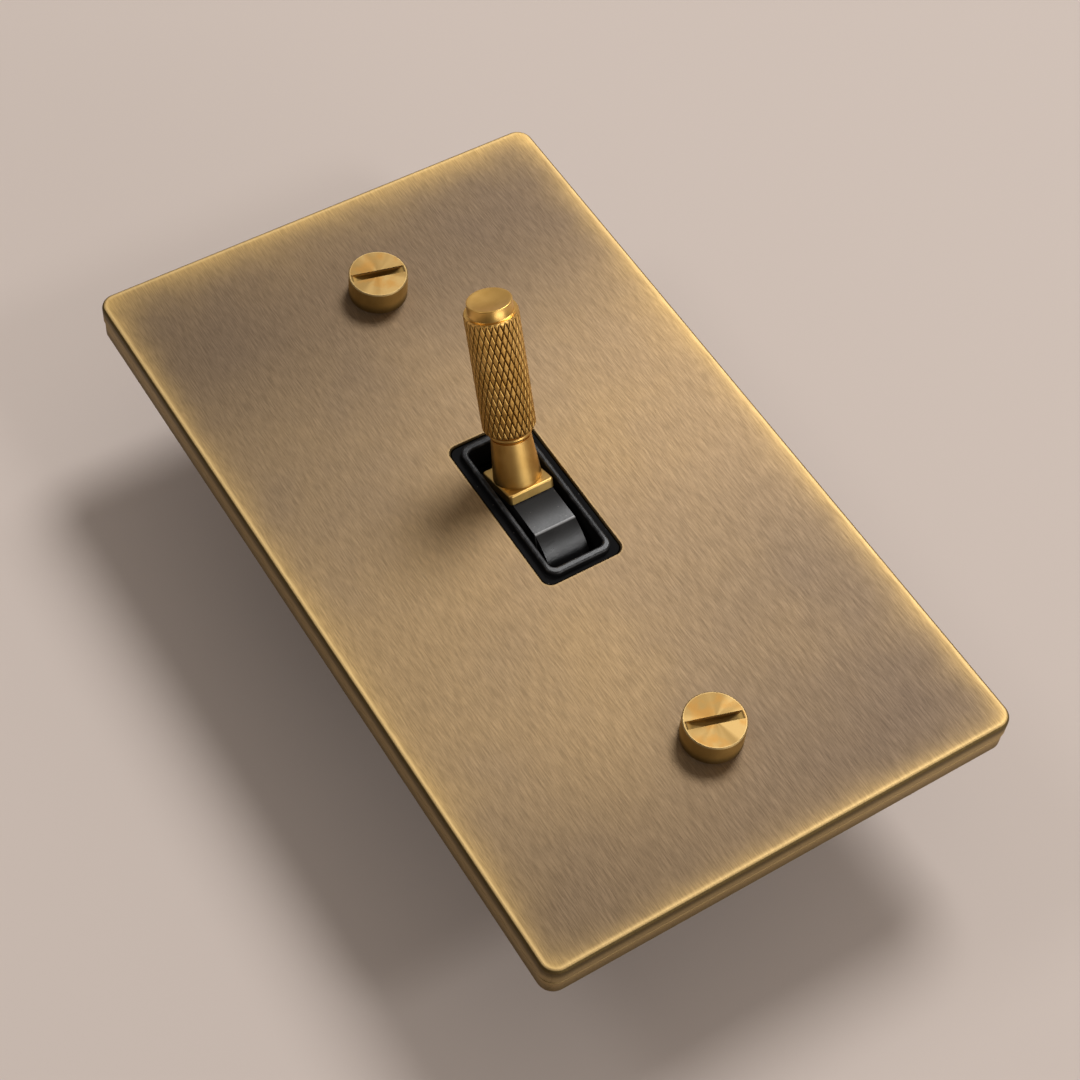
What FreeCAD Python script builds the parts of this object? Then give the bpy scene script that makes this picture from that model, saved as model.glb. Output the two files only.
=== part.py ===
import FreeCAD, Part
import math
import os

# Brass dolly switch, in millimetres. The origin is the middle of the wall plane, which is the back of
# the backing frame. +Z points out of the wall, +Y along the plate towards the end the dolly leans to.

# Face plate and the frame behind it
PLATE_WIDTH = 70.0
PLATE_LENGTH = 118.5
PLATE_THICK = 3.0
PLATE_CORNER_R = 2.3
PLATE_EDGE_R = 0.55
FRAME_THICK = 2.5
FRAME_BAND = 5.5
FRAME_INSET = 0.15
FRAME_WINDOW_R = 3.0
SEAM_BREAK = 0.3
SLOT_WIDTH = 12.0
SLOT_LENGTH = 25.4
SLOT_CORNER_R = 1.3
SLOT_BREAK = 0.2

# Plate screws, at the spacing of a wall box
SCREW_SPACING = 83.3
SCREW_HEAD_R = 4.15
SCREW_HEAD_TALL = 3.7
SCREW_HEAD_BREAK = 0.15
SCREW_THREAD_R = 1.75
SCREW_RELIEF_R = 1.45
SCREW_REACH = 16.5
SCREW_SLOT_WIDTH = 1.2
SCREW_SLOT_DEEP = 1.3
SCREW_SLOT_RIM = 0.35
SCREW_SLOT_TURN_UPPER = -14.0
SCREW_SLOT_TURN_LOWER = -17.0
SCREW_HOLE_GAP = 0.25
RETAINER_R = 4.0
RETAINER_THICK = 0.5
RETAINER_GAP = 0.08
RETAINER_PLAY = 0.6

# Steel strap behind the plate
STRAP_THICK = 1.2
STRAP_WIDTH = 24.0
STRAP_END_GAP = 1.6
STRAP_CORNER_R = 2.0
STRAP_WINDOW_GAP = 0.3
EAR_WIDTH = 40.0
EAR_LENGTH = 9.0
EAR_CORNER_R = 3.0
EAR_NOTCH_WIDTH = 1.6
EAR_NOTCH_X = 14.0
STRAP_SLOT_LENGTH = 6.4
TAB_WIDTH = 8.0
TAB_DROP = 9.5
TAB_REACH = 1.6
TAB_Y = -36.5
TAB_BEND_R = 0.6
GROUND_HEAD_R = 3.6
GROUND_HEAD_TALL = 2.4
GROUND_THREAD_R = 1.75
GROUND_REACH = 6.0

# Moulded cover with its collar
COVER_THICK = 2.0
COLLAR_GAP = 0.15
SHOULDER_SINK = 0.35
LIP_WIDTH = 9.8
LIP_LENGTH = 23.8
LIP_CORNER_R = 1.5
LIP_RISE = 0.55
LIP_EDGE_R = 0.3
OPENING_WIDTH = 8.2
OPENING_LENGTH = 21.7
OPENING_CORNER_R = 0.9
CHEEK_THICK = 2.5
CHEEK_R = 4.2

# Moulded base
BASE_WIDTH = 26.0
BASE_LENGTH = 62.0
BASE_CORNER_R = 2.5
BASE_WALL = 2.0
BASE_FLOOR = 2.0
BASE_EDGE_R = 0.8
BOSS_R = 3.6
BOSS_Y = 26.4
HOUSING_SCREW_R = 1.5
HOUSING_HEAD_R = 2.8
HOUSING_HEAD_TALL = 1.8
HOUSING_SLOT_WIDTH = 0.8
HOUSING_SLOT_DEEP = 0.9
HOUSING_GAP = 0.12
WINDOW_SIZE = 9.0
WINDOW_Z = -10.5

# Rocker, seen upright with its pivot at the origin
PIVOT_DEPTH = 11.8
LEAN = 20.0
PIN_R = 1.25
PIN_FIT = 0.04
PIN_SEAT = 0.02
ROCKER_WIDTH = 6.2
ROCKER_SIDE_GAP = 0.2
LANDING_RISE = 11.5
LANDING_HALF = 3.45
DRUM_R = 13.0
DRUM_GAP = 0.4
SKIRT_THICK = 1.7
SKIRT_END = 80.0
SKIRT_ROOT = 50.0
COLUMN_HALF = 3.0
CROWN_THICK = 2.1
HUB_R = 3.2
TAIL_HALF = 2.6
BORE_TOP = 2.7

# Dolly, measured along its axis from the pivot
FOOT_WIDTH = 6.8
FOOT_LENGTH = 7.5
FOOT_THICK = 1.4
FOOT_CORNER_R = 0.5
FOOT_EDGE_R = 0.25
NECK_BASE_R = 3.3
NECK_TOP_R = 2.7
NECK_LENGTH = 6.75
SEAT_GROOVE_TALL = 0.3
SEAT_GROOVE_DEEP = 0.25
BEAD_TALL = 0.65
BEAD_BULGE = 0.25
BEAD_GAP = 0.55
KNURL_R = 3.6
KNURL_DEEP = 0.36
KNURL_LENGTH = 17.8
KNURL_COUNT = 28
KNURL_ROWS = 13
KNURL_LAND = 0.55
CAP_R = 3.0
CAP_TALL = 1.6
CAP_EDGE_R = 0.12
CAP_DISH_R = 2.75
CAP_DISH_DEEP = 0.25
STUD_R = 1.25
STUD_GAP = 0.05
STUD_LOW = 5.0
STUD_LENGTH = 28.0

# Sprung plunger in the rocker's tail
PLUNGER_R = 1.7
PLUNGER_FIT = 0.05
PLUNGER_LENGTH = 3.8
PLUNGER_NOSE_R = 1.0
PLUNGER_STICK = 2.0
PLUNGER_GAP = 0.3
SPRING_WIRE_R = 0.2
SPRING_COIL_R = 1.32
SPRING_TURNS = 3
SPRING_STEPS = 14
SPRING_SIDES = 8
SPRING_END_GAP = 0.03

# See-saw contact and the terminals under it
CONTACT_DROP = 10.3
CONTACT_BEND = 14.0
CONTACT_TILT = 8.0
CONTACT_THICK = 0.8
CONTACT_BEND_R = 0.6
CONTACT_WIDTH = 6.4
CONTACT_HALF_LENGTH = 11.3
CONTACT_NOTCH_LENGTH = 2.6
CONTACT_NOTCH_DEEP = 0.7
FULCRUM_GAP = 0.08
BUTTON_ARM = 9.5
BUTTON_R = 1.6
BUTTON_THICK = 0.9
BUTTON_RIVET_R = 0.8
BUTTON_GAP = 0.12
BUTTON_DOME_R = 5.0
TERMINAL_THICK = 1.0
TERMINAL_WIDTH = 10.0
TERMINAL_BEND_R = 0.5
TERMINAL_LAP = 1.0
TERMINAL_Y = 17.0
ARM_WIDTH = 5.0
ARM_RIM = 0.9
ARM_LAP = 1.0
FULCRUM_RISE = 1.02
FULCRUM_HALF = 1.2
FULCRUM_TIP_HALF = 0.2
LUG_THICK = 0.75
LUG_HALF = 0.9
LUG_RISE = 1.6
LUG_GAP = 0.25
BINDING_HEAD_R = 3.6
BINDING_HEAD_TALL = 2.4
BINDING_THREAD_R = 1.6
BINDING_GAP = 0.08
BINDING_REACH = 4.2
BINDING_SLOT_WIDTH = 1.1
BINDING_SLOT_DEEP = 1.1

# Levels and places worked out from the sizes above
FRONT_Z = FRAME_THICK + PLATE_THICK
STRAP_BACK_Z = FRAME_THICK - STRAP_THICK
COVER_BACK_Z = STRAP_BACK_Z - COVER_THICK
SHOULDER_Z = FRONT_Z - SHOULDER_SINK
LIP_Z = FRONT_Z + LIP_RISE
PIVOT_Z = FRONT_Z - PIVOT_DEPTH
FULCRUM_Z = PIVOT_Z - CONTACT_DROP - CONTACT_THICK - FULCRUM_GAP
TERMINAL_TOP_Z = FULCRUM_Z - FULCRUM_RISE
FLOOR_Z = TERMINAL_TOP_Z - TERMINAL_THICK
BASE_BACK_Z = FLOOR_Z - BASE_FLOOR
TAB_TOP_Z = WINDOW_Z + WINDOW_SIZE / 2 + TERMINAL_LAP
SCREW_Y = SCREW_SPACING / 2
WALL_X = BASE_WIDTH / 2 - BASE_WALL
STRAP_LENGTH = PLATE_LENGTH - 2 * FRAME_INSET - 2 * FRAME_BAND - 2 * STRAP_END_GAP
PLUNGER_REACH = CONTACT_DROP - PLUNGER_GAP
PLUNGER_TOP = PLUNGER_REACH - PLUNGER_LENGTH
TAIL_DROP = PLUNGER_REACH - PLUNGER_STICK
HUB_HALF = OPENING_WIDTH / 2 - ROCKER_SIDE_GAP
FOOT_TOP = LANDING_RISE + FOOT_THICK
NECK_TOP = FOOT_TOP + NECK_LENGTH
BEAD_LOW = NECK_TOP + SEAT_GROOVE_TALL
BEAD_TOP = BEAD_LOW + BEAD_TALL
KNURL_LOW = BEAD_TOP + BEAD_GAP
KNURL_TOP = KNURL_LOW + KNURL_LENGTH
BORE_R = PLUNGER_R + PLUNGER_FIT
TAB_X = STRAP_WIDTH / 2 + TAB_REACH
TAB_SCREW_Z = FRAME_THICK - TAB_DROP * 0.6

X_AXIS = FreeCAD.Vector(1, 0, 0)
Y_AXIS = FreeCAD.Vector(0, 1, 0)
Z_AXIS = FreeCAD.Vector(0, 0, 1)
ORIGIN = FreeCAD.Vector(0, 0, 0)


def at(x, y, z):
    return FreeCAD.Vector(x, y, z)


def block(width, length, low, high, x=0.0, y=0.0):
    """A box centred on (x, y) between two levels."""
    corner = at(x - width / 2, y - length / 2, low)
    return Part.makeBox(width, length, high - low, corner)


def rounded_block(width, length, corner, low, high, x=0.0, y=0.0):
    """A box with its four upright edges rounded."""
    box = block(width, length, low, high, x, y)
    upright = [e for e in box.Edges if abs(e.BoundBox.ZLength - (high - low)) < 1e-6]
    return box.makeFillet(corner, upright)


def rod(radius, low, high, x=0.0, y=0.0):
    """An upright cylinder between two levels."""
    return Part.makeCylinder(radius, high - low, at(x, y, low), Z_AXIS)


def cross_rod(radius, left, right, y=0.0, z=0.0):
    """A cylinder along X between two places."""
    return Part.makeCylinder(radius, right - left, at(left, y, z), X_AXIS)


def edges_at(shape, level):
    """The edges that lie flat at one level."""
    flat = [e for e in shape.Edges if e.BoundBox.ZLength < 1e-6]
    return [e for e in flat if abs(e.BoundBox.ZMin - level) < 1e-6]


def turned(profile):
    """A solid of revolution about Z from points (radius, level)."""
    points = [at(r, 0, z) for r, z in profile]
    outline = Part.makePolygon(points + points[:1])
    return Part.Face(outline).revolve(ORIGIN, Z_AXIS, 360)


def slotted(shape, width, length, top, deep, turn=0.0):
    """A screw head with a driver's slot across its top."""
    slot = block(length, width, top - deep, top + 1)
    slot.rotate(ORIGIN, Z_AXIS, turn)
    return shape.cut(slot)


def saw_slotted(shape, width, length, top, deep, turn):
    """A screw head with a blind slot, plunged by a round saw that cuts this length at the top."""
    half = length / 2
    saw_r = (half ** 2 + deep ** 2) / (2 * deep)
    saw = Part.makeCylinder(saw_r, width, at(0, -width / 2, top - deep + saw_r), at(0, 1, 0))
    saw.rotate(ORIGIN, Z_AXIS, turn)
    return shape.cut(saw)


def moved(shape, x, y, z):
    copy = shape.copy()
    copy.translate(at(x, y, z))
    return copy


def turned_about(shape, axis, angle, centre=ORIGIN):
    copy = shape.copy()
    copy.rotate(centre, axis, angle)
    return copy


def lean(shape):
    """Put an upright piece of the dolly in place, leaning towards +Y about the pivot."""
    return moved(turned_about(shape, X_AXIS, -LEAN), 0, 0, PIVOT_Z)


def sheet_side(path, offset, bend_r, half):
    """One side of a bent sheet: straight runs joined by arcs, as edges in the YZ plane."""
    def spot(y, z):
        return at(0, y, z)

    runs = []
    for (y0, z0), (y1, z1) in zip(path, path[1:]):
        length = math.hypot(y1 - y0, z1 - z0)
        runs.append(((y1 - y0) / length, (z1 - z0) / length))
    here = spot(path[0][0] - offset * runs[0][1], path[0][1] + offset * runs[0][0])
    edges = []
    for (y, z), (ay, az), (by, bz) in zip(path[1:], runs, runs[1:]):
        bend = math.atan2(ay * bz - az * by, ay * by + az * bz)
        middle_r = bend_r + half
        reach = middle_r * math.tan(abs(bend) / 2)
        side = math.copysign(1, bend)
        cy = y - reach * ay - side * middle_r * az
        cz = z - reach * az + side * middle_r * ay
        radius = middle_r - side * offset
        knots = []
        for share in (0, 0.5, 1):
            angle = math.atan2(az, ay) + share * bend - side * math.pi / 2
            knots.append(spot(cy + radius * math.cos(angle), cz + radius * math.sin(angle)))
        edges.append(Part.makeLine(here, knots[0]))
        edges.append(Part.Arc(*knots).toShape())
        here = knots[2]
    end = spot(path[-1][0] - offset * runs[-1][1], path[-1][1] + offset * runs[-1][0])
    edges.append(Part.makeLine(here, end))
    return edges


def bent_sheet(path, thick, bend_r, width):
    """A strip of sheet metal bent along a path of (y, z) points, centred on x = 0."""
    upper = sheet_side(path, thick / 2, bend_r, thick / 2)
    lower = sheet_side(path, -thick / 2, bend_r, thick / 2)
    first = Part.makeLine(upper[0].Vertexes[0].Point, lower[0].Vertexes[0].Point)
    last = Part.makeLine(upper[-1].Vertexes[-1].Point, lower[-1].Vertexes[-1].Point)
    outline = Part.Wire(Part.__sortEdges__(upper + lower + [first, last]))
    strip = Part.Face(outline).extrude(at(width, 0, 0))
    strip.translate(at(-width / 2, 0, 0))
    return strip


def face_plate():
    plate = rounded_block(PLATE_WIDTH, PLATE_LENGTH, PLATE_CORNER_R, FRAME_THICK, FRONT_Z)
    plate = plate.makeFillet(PLATE_EDGE_R, edges_at(plate, FRONT_Z))
    plate = plate.makeChamfer(SEAM_BREAK, edges_at(plate, FRAME_THICK))
    slot = rounded_block(SLOT_WIDTH, SLOT_LENGTH, SLOT_CORNER_R, FRAME_THICK, FRONT_Z)
    eased = rounded_block(
        SLOT_WIDTH + 2 * SLOT_BREAK,
        SLOT_LENGTH + 2 * SLOT_BREAK,
        SLOT_CORNER_R + SLOT_BREAK,
        FRONT_Z - 2 * SLOT_BREAK,
        FRONT_Z,
    )
    eased = eased.makeChamfer(2 * SLOT_BREAK * 0.99, edges_at(eased, FRONT_Z - 2 * SLOT_BREAK))
    plate = plate.cut(slot).cut(eased)
    for y in (SCREW_Y, -SCREW_Y):
        plate = plate.cut(rod(SCREW_THREAD_R + SCREW_HOLE_GAP, FRAME_THICK, FRONT_Z, 0, y))
    return plate


def backing_frame():
    width = PLATE_WIDTH - 2 * FRAME_INSET
    length = PLATE_LENGTH - 2 * FRAME_INSET
    frame = rounded_block(width, length, PLATE_CORNER_R - FRAME_INSET, 0, FRAME_THICK)
    frame = frame.makeChamfer(SEAM_BREAK, edges_at(frame, FRAME_THICK))
    window = rounded_block(
        width - 2 * FRAME_BAND,
        length - 2 * FRAME_BAND,
        FRAME_WINDOW_R,
        0,
        FRAME_THICK,
    )
    return frame.cut(window)


def plate_screw(slot_turn):
    top = FRONT_Z + SCREW_HEAD_TALL
    neck = STRAP_BACK_Z - RETAINER_THICK - RETAINER_PLAY
    tip = -SCREW_REACH
    screw = turned([
        (0, top),
        (SCREW_HEAD_R - SCREW_HEAD_BREAK, top),
        (SCREW_HEAD_R, top - SCREW_HEAD_BREAK),
        (SCREW_HEAD_R, FRONT_Z),
        (SCREW_RELIEF_R, FRONT_Z),
        (SCREW_RELIEF_R, neck),
        (SCREW_THREAD_R, neck - 0.3),
        (SCREW_THREAD_R, tip + 0.6),
        (SCREW_THREAD_R - 0.6, tip),
        (0, tip),
    ])
    slot_length = 2 * (SCREW_HEAD_R - SCREW_SLOT_RIM)
    return saw_slotted(screw, SCREW_SLOT_WIDTH, slot_length, top, SCREW_SLOT_DEEP, slot_turn)


def plate_screws():
    upper = moved(plate_screw(SCREW_SLOT_TURN_UPPER), 0, SCREW_Y, 0)
    lower = moved(plate_screw(SCREW_SLOT_TURN_LOWER), 0, -SCREW_Y, 0)
    return Part.makeCompound([upper, lower])


def screw_retainers():
    low = STRAP_BACK_Z - RETAINER_THICK
    washer = rod(RETAINER_R, low, STRAP_BACK_Z)
    washer = washer.cut(rod(SCREW_RELIEF_R + RETAINER_GAP, low, STRAP_BACK_Z))
    return Part.makeCompound([moved(washer, 0, y, 0) for y in (SCREW_Y, -SCREW_Y)])


def strap():
    low, high = STRAP_BACK_Z, FRAME_THICK
    band = rounded_block(STRAP_WIDTH, STRAP_LENGTH, STRAP_CORNER_R, low, high)
    for end in (1, -1):
        ear_y = end * (STRAP_LENGTH - EAR_LENGTH) / 2
        band = band.fuse(rounded_block(EAR_WIDTH, EAR_LENGTH, EAR_CORNER_R, low, high, 0, ear_y))
    middle = (low + high) / 2
    tab = bent_sheet(
        [(STRAP_WIDTH / 4, middle), (TAB_X, middle), (TAB_X, high - TAB_DROP)],
        STRAP_THICK,
        TAB_BEND_R,
        TAB_WIDTH,
    )
    tab = moved(turned_about(tab, Z_AXIS, -90), 0, TAB_Y, 0)
    band = band.fuse(tab).removeSplitter()
    window = rounded_block(
        SLOT_WIDTH - 2 * COLLAR_GAP + 2 * STRAP_WINDOW_GAP,
        SLOT_LENGTH - 2 * COLLAR_GAP + 2 * STRAP_WINDOW_GAP,
        SLOT_CORNER_R,
        low,
        high,
    )
    band = band.cut(window)
    hole_r = SCREW_THREAD_R + SCREW_HOLE_GAP
    for end in (1, -1):
        ear_y = end * (STRAP_LENGTH - EAR_LENGTH) / 2
        hole = rounded_block(STRAP_SLOT_LENGTH, 2 * hole_r, hole_r * 0.999, low, high, 0, end * SCREW_Y)
        band = band.cut(hole)
        band = band.cut(rod(HOUSING_SCREW_R + STUD_GAP, low, high, 0, end * BOSS_Y))
        for side in (1, -1):
            notch_y = ear_y + end * EAR_LENGTH / 2
            notch = block(EAR_NOTCH_WIDTH, EAR_LENGTH / 2, low, high, side * EAR_NOTCH_X, notch_y)
            band = band.cut(notch)
    bore_r = GROUND_THREAD_R + STUD_GAP
    bore = cross_rod(bore_r, TAB_X - STRAP_THICK, TAB_X + STRAP_THICK, TAB_Y, TAB_SCREW_Z)
    return band.cut(bore)


def ground_screw():
    seat = TAB_X + STRAP_THICK / 2
    washer_r = GROUND_HEAD_R + 0.6
    hexagon = Part.Face(Part.makePolygon([
        at(GROUND_HEAD_R * math.cos(k * math.pi / 3), GROUND_HEAD_R * math.sin(k * math.pi / 3), 0)
        for k in range(7)
    ]))
    head = hexagon.extrude(at(0, 0, GROUND_HEAD_TALL))
    head = head.fuse(rod(washer_r, 0, 0.6))
    head = head.fuse(rod(GROUND_THREAD_R, -GROUND_REACH, 0.3)).removeSplitter()
    head = slotted(head, BINDING_SLOT_WIDTH, 3 * GROUND_HEAD_R, GROUND_HEAD_TALL, BINDING_SLOT_DEEP)
    return moved(turned_about(head, Y_AXIS, 90), seat, TAB_Y, TAB_SCREW_Z)


def cheek(side):
    """One of the two cheeks that carry the pivot pin."""
    left = OPENING_WIDTH / 2 if side > 0 else -OPENING_WIDTH / 2 - CHEEK_THICK
    right = left + CHEEK_THICK
    plate = Part.makeBox(CHEEK_THICK, 2 * CHEEK_R, COVER_BACK_Z - PIVOT_Z, at(left, -CHEEK_R, PIVOT_Z))
    return plate.fuse(cross_rod(CHEEK_R, left, right, 0, PIVOT_Z)).removeSplitter()


def switch_cover():
    cover = rounded_block(BASE_WIDTH, BASE_LENGTH, BASE_CORNER_R, COVER_BACK_Z, STRAP_BACK_Z)
    collar = rounded_block(
        SLOT_WIDTH - 2 * COLLAR_GAP,
        SLOT_LENGTH - 2 * COLLAR_GAP,
        SLOT_CORNER_R,
        STRAP_BACK_Z,
        SHOULDER_Z,
    )
    lip = rounded_block(LIP_WIDTH, LIP_LENGTH, LIP_CORNER_R, STRAP_BACK_Z, LIP_Z)
    opening = rounded_block(OPENING_WIDTH, OPENING_LENGTH, OPENING_CORNER_R, COVER_BACK_Z, LIP_Z)
    lip = lip.cut(opening)
    lip = lip.makeFillet(LIP_EDGE_R, edges_at(lip, LIP_Z))
    cover = cover.fuse(collar).cut(opening).fuse(lip)
    cover = cover.fuse(cheek(1)).fuse(cheek(-1)).removeSplitter()
    half = OPENING_WIDTH / 2
    cover = cover.cut(cross_rod(DRUM_R + DRUM_GAP, -half, half, 0, PIVOT_Z))
    reach = half + CHEEK_THICK
    cover = cover.cut(cross_rod(PIN_R + PIN_SEAT, -reach, reach, 0, PIVOT_Z))
    for y in (BOSS_Y, -BOSS_Y):
        cover = cover.cut(rod(HOUSING_SCREW_R + HOUSING_GAP, COVER_BACK_Z, STRAP_BACK_Z, 0, y))
    return cover


def pivot_pin():
    reach = OPENING_WIDTH / 2 + CHEEK_THICK
    return cross_rod(PIN_R, -reach, reach, 0, PIVOT_Z)


def switch_base():
    tub = rounded_block(BASE_WIDTH, BASE_LENGTH, BASE_CORNER_R, BASE_BACK_Z, COVER_BACK_Z)
    tub = tub.makeFillet(BASE_EDGE_R, edges_at(tub, BASE_BACK_Z))
    hollow = rounded_block(
        BASE_WIDTH - 2 * BASE_WALL,
        BASE_LENGTH - 2 * BASE_WALL,
        BASE_CORNER_R - BASE_WALL / 2,
        FLOOR_Z,
        COVER_BACK_Z,
    )
    for y in (BOSS_Y, -BOSS_Y):
        hollow = hollow.cut(rod(BOSS_R, FLOOR_Z, COVER_BACK_Z, 0, y))
        wall_y = math.copysign(BASE_LENGTH / 2, y)
        web = block(2 * BOSS_R, abs(wall_y - y), FLOOR_Z, COVER_BACK_Z, 0, (wall_y + y) / 2)
        hollow = hollow.cut(web)
    tub = tub.cut(hollow)
    sunk = BASE_BACK_Z + HOUSING_HEAD_TALL + 0.4
    for y in (BOSS_Y, -BOSS_Y):
        tub = tub.cut(rod(HOUSING_SCREW_R + HOUSING_GAP, BASE_BACK_Z, COVER_BACK_Z, 0, y))
        tub = tub.cut(rod(HOUSING_HEAD_R + 2 * HOUSING_GAP, BASE_BACK_Z, sunk, 0, y))
    for x, y in ((1, TERMINAL_Y), (1, -TERMINAL_Y), (-1, 0)):
        centre = x * (BASE_WIDTH - BASE_WALL) / 2
        low, high = WINDOW_Z - WINDOW_SIZE / 2, WINDOW_Z + WINDOW_SIZE / 2
        tub = tub.cut(block(BASE_WALL, WINDOW_SIZE, low, high, centre, y))
    return tub


def housing_screws():
    seat = BASE_BACK_Z + HOUSING_HEAD_TALL + 0.4
    head = turned([
        (0, HOUSING_HEAD_TALL),
        (HOUSING_HEAD_R - 0.3, HOUSING_HEAD_TALL),
        (HOUSING_HEAD_R, HOUSING_HEAD_TALL - 0.5),
        (HOUSING_HEAD_R, 0),
        (HOUSING_SCREW_R, 0),
        (HOUSING_SCREW_R, seat - FRAME_THICK + 0.3),
        (HOUSING_SCREW_R - 0.2, seat - FRAME_THICK + 0.1),
        (0, seat - FRAME_THICK + 0.1),
    ])
    head = slotted(head, HOUSING_SLOT_WIDTH, 3 * HOUSING_HEAD_R, HOUSING_HEAD_TALL, HOUSING_SLOT_DEEP)
    screw = turned_about(head, X_AXIS, 180)
    return Part.makeCompound([moved(screw, 0, y, seat) for y in (BOSS_Y, -BOSS_Y)])


def rocker():
    """Drum-shaped rocker: sloping pads, two skirts, a hub and a bored tail, as one moulding."""
    slope = math.radians(LEAN)
    edge_y = LANDING_HALF
    # where the sloping pad meets the drum
    along = edge_y * math.cos(slope) - LANDING_RISE * math.sin(slope)
    run = -along + math.sqrt(along ** 2 + DRUM_R ** 2 - edge_y ** 2 - LANDING_RISE ** 2)
    crest = at(0, edge_y + run * math.cos(slope), LANDING_RISE - run * math.sin(slope))
    inner_r = DRUM_R - SKIRT_THICK

    def polar(radius, degrees):
        angle = math.radians(degrees)
        return at(0, radius * math.sin(angle), radius * math.cos(angle))

    crest_angle = math.degrees(math.atan2(crest.y, crest.z))
    middle = (crest_angle + SKIRT_END) / 2
    inside = (SKIRT_ROOT + SKIRT_END) / 2
    right = [
        Part.makeLine(at(0, 0, LANDING_RISE), at(0, edge_y, LANDING_RISE)),
        Part.makeLine(at(0, edge_y, LANDING_RISE), crest),
        Part.Arc(crest, polar(DRUM_R, middle), polar(DRUM_R, SKIRT_END)).toShape(),
        Part.makeLine(polar(DRUM_R, SKIRT_END), polar(inner_r, SKIRT_END)),
        Part.Arc(polar(inner_r, SKIRT_END), polar(inner_r, inside), polar(inner_r, SKIRT_ROOT)).toShape(),
        Part.makeLine(polar(inner_r, SKIRT_ROOT), at(0, COLUMN_HALF, LANDING_RISE - CROWN_THICK)),
        Part.makeLine(at(0, COLUMN_HALF, LANDING_RISE - CROWN_THICK), at(0, COLUMN_HALF, 0)),
        Part.makeLine(at(0, COLUMN_HALF, 0), at(0, TAIL_HALF, -HUB_R)),
        Part.makeLine(at(0, TAIL_HALF, -HUB_R), at(0, TAIL_HALF, -TAIL_DROP)),
        Part.makeLine(at(0, TAIL_HALF, -TAIL_DROP), at(0, 0, -TAIL_DROP)),
    ]
    half_wire = Part.Wire(right)
    other = half_wire.mirror(ORIGIN, Y_AXIS)
    outline = Part.Wire(Part.__sortEdges__(half_wire.Edges + other.Edges))
    body = Part.Face(outline).extrude(at(ROCKER_WIDTH, 0, 0))
    body.translate(at(-ROCKER_WIDTH / 2, 0, 0))
    body = body.fuse(cross_rod(HUB_R, -HUB_HALF, HUB_HALF)).removeSplitter()
    body = body.cut(cross_rod(PIN_R + PIN_FIT, -HUB_HALF, HUB_HALF))
    body = body.cut(rod(BORE_R, -TAIL_DROP, -BORE_TOP))
    body = body.cut(rod(STUD_R + STUD_GAP, STUD_LOW - STUD_GAP, LANDING_RISE))
    return lean(body)


def dolly_foot():
    foot = rounded_block(FOOT_WIDTH, FOOT_LENGTH, FOOT_CORNER_R, LANDING_RISE, FOOT_TOP)
    foot = foot.makeFillet(FOOT_EDGE_R, edges_at(foot, FOOT_TOP))
    neck = turned([
        (0, FOOT_TOP - 0.5),
        (NECK_BASE_R, FOOT_TOP - 0.5),
        (NECK_BASE_R, FOOT_TOP + 0.1),
        (NECK_TOP_R, NECK_TOP),
        (0, NECK_TOP),
    ])
    foot = foot.fuse(neck).removeSplitter()
    return lean(foot.cut(rod(STUD_R + STUD_GAP, LANDING_RISE, NECK_TOP)))


def dolly_stud():
    return lean(rod(STUD_R, STUD_LOW, STUD_LOW + STUD_LENGTH))


def diamond(turn, level, upper, lower):
    """Facets of one flat-topped diamond; the rows at the ends have only their upper or lower half."""
    half = math.pi / KNURL_COUNT
    pitch = KNURL_LENGTH / KNURL_ROWS
    root_r = KNURL_R - KNURL_DEEP
    outward = at(math.cos(turn), math.sin(turn), 0)
    across = at(-math.sin(turn), math.cos(turn), 0)

    def crossing(side, rise):
        angle = turn + side * half
        return at(root_r * math.cos(angle), root_r * math.sin(angle), level + rise * pitch)

    def land(side, rise):
        reach = side * KNURL_LAND * root_r * math.tan(half)
        return outward * KNURL_R + across * reach + at(0, 0, level + rise * KNURL_LAND * pitch)

    left, right = crossing(-1, 0), crossing(1, 0)
    left_top, right_top = land(-1, 0), land(1, 0)
    facets = []
    top = [left_top]
    for rise, wanted in ((1, upper), (-1, lower)):
        if wanted:
            tip, tip_top = crossing(0, rise), land(0, rise)
            facets.append([left, left_top, tip])
            facets.append([left_top, tip_top, tip])
            facets.append([tip, tip_top, right_top])
            facets.append([tip, right_top, right])
    if upper:
        top.append(land(0, 1))
    top.append(right_top)
    if lower:
        top.append(land(0, -1))
    facets.append(top)
    return facets, [left, left_top, right_top]


def knurl_faces():
    """The knurled wall: staggered rows of diamonds, with a ring of half diamonds at each end."""
    pitch = KNURL_LENGTH / KNURL_ROWS
    step = 2 * math.pi / KNURL_COUNT
    facets = []
    rims = []
    for row in range(KNURL_ROWS + 1):
        rim = []
        for place in range(KNURL_COUNT):
            turn = step * (place + 0.5 * (row % 2))
            found, edge = diamond(turn, KNURL_LOW + row * pitch, row < KNURL_ROWS, row > 0)
            facets += found
            rim += edge
        rims.append(rim)
    walls = [Part.Face(Part.makePolygon(f + f[:1])) for f in facets]
    return walls, rims[0], rims[-1]


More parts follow.
